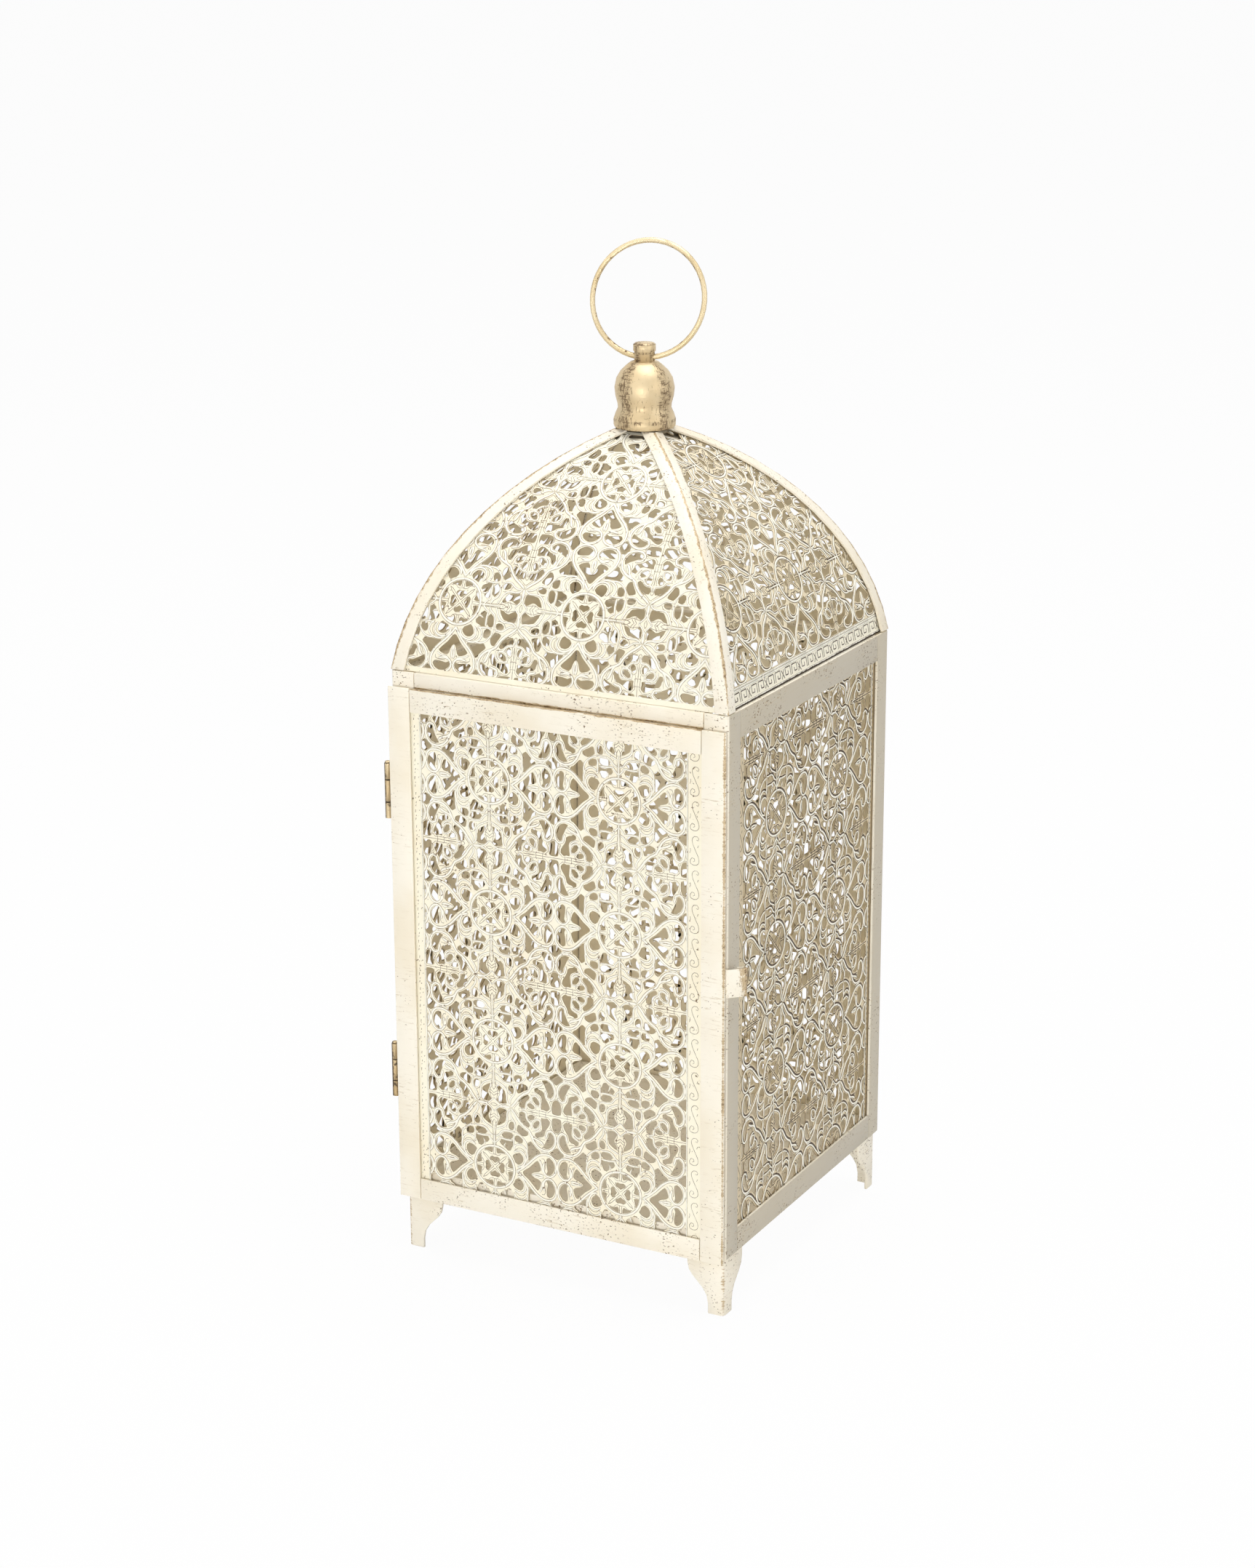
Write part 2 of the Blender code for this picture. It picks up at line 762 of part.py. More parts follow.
def leaf_outline(plate, joint_a, joint_b):
    # A barrel round the hinge axis with a flat plate that leaves it between two angles.
    steps = 16
    arc = [
        (hinge_radius * math.cos(joint_b + (joint_a - joint_b) * i / steps),
         hinge_radius * math.sin(joint_b + (joint_a - joint_b) * i / steps))
        for i in range(steps + 1)
    ]
    return arc + plate


def add_box_cutter(name, low, high, parent, piece):
    outline = rectangle(low[0], low[1], high[0], high[1])
    mesh = sheet_mesh(name, outline, [], high[2] - low[2],
                      lambda a, b, depth: Vector((a, b, low[2] + depth)))
    cutter = add_piece(name, mesh, bare_steel, location=piece.location, parent=parent)
    cutter.hide_render = True
    cutter.display_type = "WIRE"
    cut = piece.modifiers.new(name, "BOOLEAN")
    cut.operation = "DIFFERENCE"
    cut.object = cutter


def make_hinge(name, middle_z, pivot):
    bore = circle(hinge_pin_radius + seat_gap, 12)
    tall = hinge_height / 2
    knuckle = hinge_middle_knuckle / 2
    reach = hinge_radius + seat_gap

    # The door's leaf lies behind the stile, beside the pierced panel
    front = -door_panel_front - hinge_y
    back = -door_panel_back - hinge_y
    leaf_end = -half + door_left_stile - door_left_lap - seat_gap - hinge_x
    plate = [(leaf_end, front), (leaf_end, back)]
    door_side = leaf_outline(plate, math.asin(front / hinge_radius) + 2 * math.pi,
                             math.asin(back / hinge_radius))
    mesh = sheet_mesh("door_hinge", door_side, [bore], hinge_height,
                      lambda a, b, depth: Vector((a, b, depth - tall)))
    leaf = add_piece("door_hinge_" + name, smooth(mesh), gold_paint,
                     location=(0, 0, middle_z), parent=pivot)
    add_box_cutter("door_hinge_notch_" + name, (-2 * reach, -2 * reach, -knuckle - seat_gap),
                   (reach, 2 * reach, knuckle + seat_gap), pivot, leaf)

    # The body's leaf lies on the side of the post
    face = -half - seat_gap - hinge_x
    outer = face - hinge_leaf_sheet
    leaf_back = -hinge_y - half + hinge_side_leaf
    plate = [(face, leaf_back), (outer, leaf_back)]
    body_side = leaf_outline(plate, 2 * math.pi, math.acos(outer / hinge_radius))
    mesh = sheet_mesh("body_hinge", body_side, [bore], hinge_height,
                      lambda a, b, depth: Vector((a, b, depth - tall)))
    leaf = add_piece("body_hinge_" + name, smooth(mesh), gold_paint,
                     location=(hinge_x, hinge_y, middle_z))
    for end, low, high in (("low", -2 * tall, -knuckle), ("high", knuckle, 2 * tall)):
        add_box_cutter("body_hinge_notch_" + end + "_" + name, (-2 * reach, -2 * reach, low),
                       (2 * reach, reach, high), None, leaf)

    head = tall + seat_gap
    profile = [
        (0.0, -tall), (hinge_pin_radius, -tall), (hinge_pin_radius, head),
        (hinge_pin_head_radius, head), (hinge_pin_head_radius, head + hinge_pin_head / 2),
        (hinge_pin_head_radius * 0.6, head + hinge_pin_head), (0.0, head + hinge_pin_head),
    ]
    add_piece("hinge_pin_" + name, turned("hinge_pin", profile, 12, False), gold_paint,
              location=(0, 0, middle_z), parent=pivot)


def main():
    clear_scene()
    make_posts()
    make_rails()
    make_tray()
    make_feet()
    make_side_panels()
    make_dome()
    make_ribs()
    stud_end = make_crown()
    bell_top = make_bell()
    hole_z, half_sag = make_stud(bell_top, stud_end)
    make_ring(hole_z, half_sag)
    door_pivot = make_door()
    make_hinge("upper", upper_hinge_z, door_pivot)
    make_hinge("lower", lower_hinge_z, door_pivot)


main()
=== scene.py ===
import math

import bmesh
import bpy
from mathutils import Matrix, Vector


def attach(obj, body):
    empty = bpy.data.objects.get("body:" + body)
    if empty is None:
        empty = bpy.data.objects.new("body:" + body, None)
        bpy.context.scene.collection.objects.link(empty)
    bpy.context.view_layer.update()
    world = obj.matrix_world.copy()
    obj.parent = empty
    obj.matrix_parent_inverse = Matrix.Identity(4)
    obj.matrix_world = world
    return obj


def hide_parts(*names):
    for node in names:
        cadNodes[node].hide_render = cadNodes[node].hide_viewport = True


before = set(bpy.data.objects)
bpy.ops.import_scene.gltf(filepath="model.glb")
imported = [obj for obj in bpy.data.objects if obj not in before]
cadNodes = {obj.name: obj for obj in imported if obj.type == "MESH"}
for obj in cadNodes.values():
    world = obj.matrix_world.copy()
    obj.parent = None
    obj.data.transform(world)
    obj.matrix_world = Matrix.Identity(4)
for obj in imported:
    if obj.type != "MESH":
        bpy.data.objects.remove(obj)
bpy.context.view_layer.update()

mm = 0.001
quarterTurn = math.pi / 2
sides = ("front", "right", "rear", "left")
corners = ("front_left", "front_right", "rear_left", "rear_right")
print("frame loaded,", len(cadNodes), "nodes")


# node trees

class Value:  # one socket of a tree; arithmetic on it adds Math nodes
    def __init__(self, tree, socket):
        self.tree = tree
        self.socket = socket

    def __add__(self, other):
        return self.tree.calc("ADD", self, other)

    def __sub__(self, other):
        return self.tree.calc("SUBTRACT", self, other)

    def __rsub__(self, other):
        return self.tree.calc("SUBTRACT", other, self)

    def __mul__(self, other):
        return self.tree.calc("MULTIPLY", self, other)

    def __truediv__(self, other):
        return self.tree.calc("DIVIDE", self, other)

    def __pow__(self, other):
        return self.tree.calc("POWER", self, other)

    __radd__ = __add__
    __rmul__ = __mul__

    def abs(self):
        return self.tree.calc("ABSOLUTE", self)

    def cos(self):
        return self.tree.calc("COSINE", self)

    def sin(self):
        return self.tree.calc("SINE", self)

    def most(self, other):
        return self.tree.calc("MAXIMUM", self, other)


class Tree:  # a shader or geometry tree; make() adds any node, its settings before its sockets
    def __init__(self, nodeTree):
        self.nodeTree = nodeTree

    def make(self, kind, settings=None, sockets=None, output=0):
        node = self.nodeTree.nodes.new(kind)
        for name, value in (settings or {}).items():
            setattr(node, name, value)
        for name, value in (sockets or {}).items():
            self.feed(node.inputs[name], value)
        return Value(self, node.outputs[output])

    def feed(self, socket, value):
        if isinstance(value, Value):
            self.nodeTree.links.new(value.socket, socket)
        else:
            socket.default_value = value

    def calc(self, operation, *values):
        return self.make("ShaderNodeMath", {"operation": operation}, dict(enumerate(values)))

    def joined(self, x, y, z):
        return self.make("ShaderNodeCombineXYZ", None, {0: x, 1: y, 2: z})

    def split(self, vector):
        first = self.make("ShaderNodeSeparateXYZ", None, {0: vector})
        outputs = first.socket.node.outputs
        return [Value(self, outputs[i]) for i in range(3)]


def linear(colour):  # a screen colour, 0 to 255, made linear by the sRGB curve; anything else stays
    if not isinstance(colour, tuple):
        return colour
    parts = [part / 255 for part in colour]
    return (*[part / 12.92 if part <= 0.04045 else ((part + 0.055) / 1.055) ** 2.4 for part in parts], 1)


class Finish(Tree):  # one material round a Principled shader
    def __init__(self, name, **shader):
        self.material = bpy.data.materials.new(name)
        self.material.use_nodes = True
        super().__init__(self.material.node_tree)
        self.shader = self.nodeTree.nodes["Principled BSDF"]
        self.point = self.make("ShaderNodeTexCoord", output="Object")
        for name, value in shader.items():
            self.set(name.replace("_", " "), value)

    def set(self, socketName, value):
        self.feed(self.shader.inputs[socketName], value)

    def mix(self, factor, first, second):
        colours = {6: linear(first), 7: linear(second)}
        return self.make("ShaderNodeMix", {"data_type": "RGBA"}, {0: factor, **colours}, 2)

    def noise(self, scale, stretch=(1, 1, 1), shift=(0, 0, 0), detail=2.0, roughness=0.5):
        place = self.make("ShaderNodeMapping", None,
                          {"Vector": self.point, "Location": shift, "Scale": stretch})
        return self.make("ShaderNodeTexNoise", None,
                         {"Vector": place, "Scale": scale, "Detail": detail, "Roughness": roughness})

    def ramp(self, value, low, high, bottom=0.0, top=1.0):
        return self.make("ShaderNodeMapRange", {"interpolation_type": "SMOOTHSTEP"},
                         {0: value, 1: low, 2: high, 3: bottom, 4: top})

    def millimetres(self):
        return [part * (1 / mm) for part in self.split(self.point)]

    def done(self, body, rough, height, look):  # look has the least roughness and the bump's two sizes
        self.set("Base Color", body)
        self.set("Roughness", rough + look["least"])
        self.set("Normal", self.make("ShaderNodeBump", None, {
            "Strength": look["bump"], "Distance": look["depth"], "Height": height}))
        return self.material


# finishes

noiseMiddle = 0.5
ivory = {"cream": (253, 246, 230), "shade": (245, 234, 211), "line": (196, 176, 140),
         "speck": (128, 104, 72), "shadeTone": (194, 184, 164), "rubbed": (186, 158, 112),
         "deepRub": (112, 86, 54)}
ivoryNoise = {"cloud": 26, "patch": 42, "patchShift": (3.1, 1.7, 0.4), "fine": 1250,
              "fineStretch": (0.7, 0.7, 1.1), "fineShift": (0.7, 5.3, 2.2), "lineRoughness": 0.7}
# each ramp: where it starts and ends, then its values there if they aren't 0 and 1
ivoryRamps = {"cloud": (0.35, 0.75), "lines": (0.56, 0.72), "lineShare": (0.4, 0.66, 0.12, 0.75),
              "speckShare": (0.42, 0.6), "deepGrain": (0.44, 0.6), "shadedFlank": (74.7, 74.95, 0)}
# the rubbed edge, its places as shares of the rubbed width
ivoryRub = {"byLines": 2.6, "byPatch": 2.2, "from": 0.35, "to": 0.75, "deep": 0.2, "cover": 0.85,
            "metal": 0.15}
ivoryShine = {"least": 0.36, "byLines": 0.16, "bump": 0.35, "depth": 0.0002, "height": 0.5, "blur": 0.05,
              "moreLines": 0.25}


def ivoryPaint(name, strokes, distance=None, rubWidth=2.0, speckShare=0.34, sideShade=0):
    # strokes stretches the brush lines, distance gives the millimetres from a rubbed edge,
    # and the last argument is how far painted shade darkens the faces on the right and left
    paint = Finish(name)
    cloud = paint.noise(ivoryNoise["cloud"], detail=4)
    body = paint.mix(paint.ramp(cloud, *ivoryRamps["cloud"]), ivory["cream"], ivory["shade"])
    lines = paint.noise(1, strokes, detail=3, roughness=ivoryNoise["lineRoughness"])
    patch = paint.noise(ivoryNoise["patch"], shift=ivoryNoise["patchShift"])
    # painted shade: the faces on the right and left turn greyer and take extra brush lines
    shadedFlank = paint.ramp(paint.millimetres()[0].abs(), *ivoryRamps["shadedFlank"], sideShade)
    body = paint.mix(shadedFlank, body, ivory["shadeTone"])
    lineShare = paint.ramp(patch, *ivoryRamps["lineShare"]) + shadedFlank * ivoryShine["moreLines"]
    body = paint.mix(paint.ramp(lines, *ivoryRamps["lines"]) * lineShare, body, ivory["line"])
    fine = paint.noise(ivoryNoise["fine"], ivoryNoise["fineStretch"], ivoryNoise["fineShift"], 1)
    speckMask = paint.ramp(fine, 1 - speckShare, 1 - speckShare + ivoryShine["blur"])
    body = paint.mix(speckMask * paint.ramp(patch, *ivoryRamps["speckShare"]), body, ivory["speck"])
    if distance:
        uneven = (lines - noiseMiddle) * ivoryRub["byLines"] + (patch - noiseMiddle) * ivoryRub["byPatch"]
        edge = distance(paint) + uneven * rubWidth
        rub = paint.ramp(edge, rubWidth * ivoryRub["from"], rubWidth * ivoryRub["to"], 1, 0)
        deep = paint.ramp(edge, 0, rubWidth * ivoryRub["deep"], 1, 0)
        deep = deep * paint.ramp(fine, *ivoryRamps["deepGrain"])
        body = paint.mix(rub * ivoryRub["cover"], body, ivory["rubbed"])
        body = paint.mix(deep * ivoryRub["cover"], body, ivory["deepRub"])
        paint.set("Metallic", rub * ivoryRub["metal"])
    height = (lines + cloud) * ivoryShine["height"]
    return paint.done(body, lines * ivoryShine["byLines"], height, ivoryShine)


# where the paint is rubbed, in millimetres; front is the distance added from one y to another
rubbedAt = {"post": 75, "foot": 73.7, "stile": 74.6, "latch": 81.2, "front": (-74.8, -74.2, 0, 9)}


def cornerLine(reach):  # distance from the upright edges at |x| = |y| = reach
    def distance(paint):
        across, along = [reach - part.abs() for part in paint.millimetres()[:2]]
        return (across * across + along * along) ** 0.5
    return distance


def ridgeLine(paint):  # distance from the planes through the hips
    x, y = paint.millimetres()[:2]
    return (x.abs() - y.abs()).abs() * math.sqrt(0.5)


def uprightEdge(at):
    return lambda paint: (paint.millimetres()[0] - at).abs()


def topEdge(node):  # distance from the level of a CAD node's top edge, on the front alone
    level = max(corner[2] for corner in cadNodes[node].bound_box) / mm

    def distance(paint):
        y, z = paint.millimetres()[1:]
        return (z - level).abs() + paint.ramp(y, *rubbedAt["front"])
    return distance


upright = (160, 160, 1500)  # brush lines lie across an upright strip
# posts and rails take painted shade on their faces on the right and left
postPaint = ivoryPaint("ivoryPost", upright, cornerLine(rubbedAt["post"]), 0.6, sideShade=0.9)
footPaint = ivoryPaint("ivoryFoot", upright, cornerLine(rubbedAt["foot"]), 1.6)
ribPaint = ivoryPaint("ivoryRib", (700, 700, 500), ridgeLine, 0.85)
railPaint = ivoryPaint("ivoryRail", (170, 170, 1300), topEdge("door_rail_top"), 0.6, 0.37, 0.9)
stilePaint = ivoryPaint("ivoryStile", upright, uprightEdge(rubbedAt["stile"]), 0.7, 0.31)
latchPaint = ivoryPaint("ivoryLatch", (900, 900, 400), uprightEdge(rubbedAt["latch"]), 2.4)
trayPaint = ivoryPaint("ivoryTray", (500, 500, 500))


# relief runs from 0 at a sheet's back, by 0.5 on its front, to 1 on top of the raised lines
scrollRamps = {"cloud": (0.35, 0.75), "highlightTops": (0.7, 0.88), "back": (0, 0.01, 1, 0), "wallLow": (0.01, 0.04),
               "wallHigh": (0.36, 0.49, 1, 0), "footLow": (0.502, 0.508), "footHigh": (0.6, 0.72, 1, 0),
               "broken": (0.3, 0.55), "flecks": (0.68, 0.74), "front": (0.49, 0.5), "gapFace": (0.4, 0.48)}
# the raised lines' highest parts take a painted highlight and the holes' sides painted shade
scrollTones = {"highlightTops": (255, 252, 240), "wallShade": (152, 130, 94), "back": (245, 234, 208),
               "band": (255, 249, 230), "gapShade": (60, 46, 28)}
scrollShine = {"cloud": 30, "grain": 700, "brokenBy": 0.8, "fleckBy": 0.3, "band": 0.4, "gapShade": 0.2,
               "least": 0.36, "byGrain": 0.14, "bump": 0.25, "depth": 0.00015, "specular": 0.2,
               "grainHeight": 0.6, "cloudHeight": 0.4}


def scrollPaint(name, ground, shaded, lines, share, gaps, band=None):
    # share is the strength of the dark lines beside the raised ones, glaze and on a skirt's wider side a
    # painted shadow, gaps how much they are broken, and band the heights of the painted shade in the crack
    # under a sheet and of a bright band's top
    paint = Finish(name, Specular_IOR_Level=scrollShine["specular"])
    relief = paint.make("ShaderNodeAttribute", {"attribute_name": "relief"}, output="Fac")
    cloud = paint.noise(scrollShine["cloud"], detail=4)
    grain = paint.noise(scrollShine["grain"])

    def within(part, value=relief):
        return paint.ramp(value, *scrollRamps[part])

    body = paint.mix(within("cloud", cloud), ground, shaded)
    if band:
        up = paint.millimetres()[2]
        bandMask = paint.ramp(up, band[1], band[1] + scrollShine["band"], 1, 0)
        body = paint.mix(bandMask, body, scrollTones["band"])
    # painted highlight on the raised lines' highest parts, then painted shade on the holes' sides
    body = paint.mix(within("highlightTops"), body, scrollTones["highlightTops"])
    body = paint.mix(within("wallLow") * within("wallHigh"), body, scrollTones["wallShade"])
    body = paint.mix(within("back"), body, scrollTones["back"])
    unevenness = cloud - noiseMiddle
    broken = grain + unevenness * scrollShine["brokenBy"]
    broken = paint.ramp(broken, *scrollRamps["broken"], 1 - gaps, 1)
    # dark lines beside the raised lines: glaze in the creases, and a painted shadow where the skirt is wider
    # to one side
    body = paint.mix(within("footLow") * within("footHigh") * broken * share, body, lines)
    flecks = within("flecks", grain + unevenness * scrollShine["fleckBy"]) * within("front")
    body = paint.mix(flecks * share, body, lines)
    if band:
        # painted shade in the crack under the sheet, on its front faces
        gapShade = paint.ramp(up + (grain - noiseMiddle), band[0], band[0] + scrollShine["gapShade"], 1, 0)
        body = paint.mix(gapShade * within("gapFace"), body, scrollTones["gapShade"])
    height = grain * scrollShine["grainHeight"] + cloud * scrollShine["cloudHeight"]
    return paint.done(body, grain * scrollShine["byGrain"], height, scrollShine)


# painted light and shade: the door and the dome's front sheet get a pale copy of the paint, the other sheets
# darker copies with darker lines
scrollLooks = {
    "front": scrollPaint("paleScroll", (255, 250, 230), (252, 242, 217), (104, 74, 34), 0.85, 0.4),
    "side": scrollPaint("shadedScroll", (228, 212, 180), (210, 192, 156), (58, 38, 14), 1.0, 0.12),
    "dome": scrollPaint("domeScroll", (244, 231, 202), (230, 215, 182), (62, 42, 16), 1.0, 0.2,
                        (250.9, 257.7))}

goldLook = {"cloud": 60, "cloudRamp": (0.3, 0.7), "shift": (2.7, 0.9, 1.3), "secondLess": 0.03,
            "byCloud": 0.35, "byShade": 0.16, "blur": 0.13, "scratched": 0.85, "darkened": 0.18,
            "metal": 0.4, "lessMetal": 0.2, "least": 0.36, "byMask": 0.25, "byStreak": 0.08, "bump": 0.45,
            "depth": 0.0003, "detail": 5, "roughness": 0.68, "cloudHeight": 0.6}


def goldPaint(name, pale, deep, brown, stretches, share, darker):
    # stretches gives one or two directions for the scratches, darker a mask of painted shade, where the
    # colour browns and the scratches gather
    paint = Finish(name)
    cloud = paint.noise(goldLook["cloud"], detail=3)
    streak = paint.noise(1, stretches[0], (0, 0, 0), goldLook["detail"], goldLook["roughness"])
    for stretch in stretches[1:]:
        other = paint.noise(1, stretch, goldLook["shift"], goldLook["detail"], goldLook["roughness"])
        streak = streak.most(other - goldLook["secondLess"])
    body = paint.mix(paint.ramp(cloud, *goldLook["cloudRamp"]), pale, deep)
    # painted shade: the mask browns the colour and adds scratches there
    shadeMask = darker(paint)
    depth = streak + (cloud - noiseMiddle) * goldLook["byCloud"] + shadeMask * goldLook["byShade"]
    mask = paint.ramp(depth, share, share + goldLook["blur"])
    body = paint.mix(mask * goldLook["scratched"], body, brown)
    body = paint.mix(shadeMask * goldLook["darkened"], body, brown)
    paint.set("Metallic", goldLook["metal"] - mask * goldLook["lessMetal"])
    rough = mask * goldLook["byMask"] + streak * goldLook["byStreak"]
    return paint.done(body, rough, streak + cloud * goldLook["cloudHeight"], goldLook)


# painted shade on the finial: the dark sides of a painted reflection on four flanks, and shade in the hollow
# over the bead and at the button's rims
# heights in millimetres, and ramps over the distance from them; across points to the right of the photo
finial = {"across": (0.885, 0.465), "bead": 345.0, "buttonFoot": 371.6, "buttonTop": 375.1,
          "shadedFlank": (0.34, 0.5, 0, 0.8), "hollow": (0.3, 1.1, 0.7, 0), "rim": (0.2, 0.6, 0.9, 0),
          "foot": (0.2, 0.7, 0.8, 0), "core": 0.5}


# painted shade: four flanks between the side towards the camera and the outline, darkened as a painted
# reflection, the hollow over the bead and the button's rims
def finialShade(paint):  # four flanks of the turned shape, the hollow over the bead and the button's rims
    x, y, z = paint.millimetres()
    aside = x * finial["across"][0] + y * finial["across"][1]
    along = x * finial["across"][1] - y * finial["across"][0]
    shadeMask = paint.ramp((aside * along).abs() / (x * x + y * y + finial["core"]), *finial["shadedFlank"])
    for height, part in (("bead", "hollow"), ("buttonTop", "rim"), ("buttonFoot", "foot")):
        shadeMask = shadeMask.most(paint.ramp((z - finial[height]).abs(), *finial[part]))
    return shadeMask


# where the painted shade on the ring's inner side starts and ends
ringInside = (22.2, 22.9, 1, 0)  # a ramp over the distance from the ring's middle


# painted shade on the side of the wire that faces the ring's middle
def ringShade(paint):  # the side of the wire that faces the ring's middle
    boxCorners = [Vector(corner) for corner in cadNodes["hanging_ring"].bound_box]
    middle = sum(boxCorners, Vector()) / len(boxCorners)
    squares = [(part - centre / mm) ** 2 for part, centre in zip(paint.millimetres(), middle)]
    return paint.ramp((squares[0] + squares[1] + squares[2]) ** 0.5, *ringInside)


hinge = {"axis": -76.75, "outer": (-1.45, 0.1, 2.6, 0), "between": 139.75, "spread": 60.25, "seam": 4.65,
         "seamRamp": (0.15, 0.45, 1, 0)}


# painted shade on the barrel's outer side and in the seams between the knuckles
def hingeShade(paint):  # the barrel's outer side and the seams between the knuckles
    x, y, z = paint.millimetres()
    outer = paint.ramp(x - hinge["axis"], *hinge["outer"])
    seams = ((z - hinge["between"]).abs() - hinge["spread"]).abs() - hinge["seam"]
    return outer.most(paint.ramp(seams.abs(), *hinge["seamRamp"]))


finialPaint = goldPaint("brushedFinial", (224, 204, 166), (208, 184, 142), (92, 66, 40),
                        [(1300, 1300, 260), (260, 260, 1500)], 0.6, finialShade)
ringPaint = goldPaint("brushedRing", (230, 212, 174), (212, 190, 146), (108, 80, 46),
                      [(600, 600, 600)], 0.66, ringShade)
hingePaint = goldPaint("brushedHinge", (216, 196, 158), (188, 162, 118), (54, 38, 24),
                       [(400, 400, 400)], 0.56, hingeShade)


steel = {"stretch": (900, 900, 300), "dark": (150, 142, 128), "pale": (186, 178, 162),
         "least": 0.35, "byGrain": 0.2, "bump": 0.2, "depth": 0.0001}
paint = Finish("dullSteel", Metallic=0.8)
grain = paint.noise(1, steel["stretch"], detail=3)
body = paint.mix(grain, steel["dark"], steel["pale"])
crownSteel = paint.done(body, grain * steel["byGrain"], grain, steel)
print("finishes made")


# common mesh work

def placed(name, data):  # a new object in the scene
    made = bpy.data.objects.new(name, data)
    bpy.context.scene.collection.objects.link(made)
    return made


def addPiece(name, mesh, body, slot, material, *replaced):
    piece = placed(name, mesh)
    mesh.materials.clear()
    mesh.materials.append(material)
    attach(piece, body)
    if replaced:
        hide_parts(*replaced)


sharpFrom = {"solid": 32, "raised": 100, "pierced": 28}  # degrees


def shade(mesh, degrees=sharpFrom["solid"]):
    mesh.shade_smooth()
    mesh.set_sharp_from_angle(angle=math.radians(degrees))


def frozen(source):  # the evaluated object as a plain mesh; the source object goes
    graph = bpy.context.evaluated_depsgraph_get()
    mesh = bpy.data.meshes.new_from_object(source.evaluated_get(graph), depsgraph=graph)
    bpy.data.objects.remove(source)
    return mesh


# the width of the eased edges and the turn up to which faces are joined, then those of special pieces
easing = {"width": 0.22, "flat": 0.6, "thinWidth": 0.2, "latchWidth": 0.12, "ribFlat": 0.05,
          "metalFlat": 0.01, "segments": 2, "angle": math.radians(40), "merge": 1e-6}


def softened(node, bevelWidth=easing["width"], flat=easing["flat"]):
    # a copy of a CAD node with its flat faces joined, up to a turn of flat degrees, and its edges eased
    mesh = cadNodes[node].data.copy()
    work = bmesh.new()
    work.from_mesh(mesh)
    bmesh.ops.remove_doubles(work, verts=work.verts, dist=easing["merge"])
    bmesh.ops.dissolve_limit(work, angle_limit=math.radians(flat), verts=work.verts, edges=work.edges)
    work.to_mesh(mesh)
    work.free()
    if bevelWidth:
        source = placed("soften", mesh)
        bevel = source.modifiers.new("ease", "BEVEL")
        bevel.width = bevelWidth * mm
        bevel.segments = easing["segments"]
        bevel.limit_method = "ANGLE"
        bevel.angle_limit = easing["angle"]
        mesh = frozen(source)
    shade(mesh)
    return mesh


collar = {"above": 366.0, "reach": 8.4, "inside": 4.2, "rise": 1.2, "power": 1.5}


def flare(mesh):  # draws the bell's top up to the neck, as a hollow curve
    for vertex in mesh.vertices:
        share = (collar["reach"] - vertex.co.xy.length / mm) / (collar["reach"] - collar["inside"])
        if vertex.co.z > collar["above"] * mm and share > 0:
            vertex.co.z += collar["rise"] * mm * min(share, 1) ** collar["power"]


bodyName = "lantern_body"


def addPainted(name, node, material, bevelWidth=easing["width"], flat=easing["flat"]):
    body = "door" if node.startswith("door") else bodyName
    addPiece(name, softened(node, bevelWidth, flat), body, "cream_paint", material, node)


for corner in corners:
    addPainted("corner_post_" + corner, "post_" + corner, postPaint, easing["thinWidth"])
    addPainted("bent_foot_" + corner, "foot_" + corner, footPaint)
    addPainted("hip_strip_" + corner, "hip_rib_" + corner, ribPaint, easing["thinWidth"], easing["ribFlat"])
for side in sides:
    addPainted("lower_angle_" + side, "bottom_rail_" + side, railPaint)
    addPainted("upper_angle_" + side, "top_rail_" + side, railPaint)
addPainted("floor_plate", "floor_tray", trayPaint, easing["thinWidth"])
for node in ("door_stile_left", "door_stile_right"):
    addPainted(node + "_strip", node, stilePaint, easing["thinWidth"])
for node in ("door_rail_top", "door_rail_bottom"):
    addPainted(node + "_strip", node, railPaint, easing["thinWidth"])
addPainted("latch_clip", "door_latch", latchPaint, easing["latchWidth"])
print("frame pieces made")

for node in ("body_hinge_upper", "body_hinge_lower", "door_hinge_upper", "door_hinge_lower",
             "hinge_pin_upper", "hinge_pin_lower", "finial_bell", "finial_stud", "hanging_ring"):
    rides = bodyName if node.startswith(("body", "finial")) else "ring" if node == "hanging_ring" else "door"
    material = hingePaint if "hinge" in node else finialPaint if "finial" in node else ringPaint
    mesh = softened(node, 0, easing["metalFlat"])
    if node == "finial_bell":
        flare(mesh)
    addPiece(node + "_brushed", mesh, rides, "gold_paint", material, node)
for node in ("crown_plate", "crown_nut"):
    for slot in cadNodes[node].material_slots:
        slot.material = crownSteel
print("metalwork made")


# pierced scrollwork

def swapped(points):
    return [(y, x) for x, y in points]


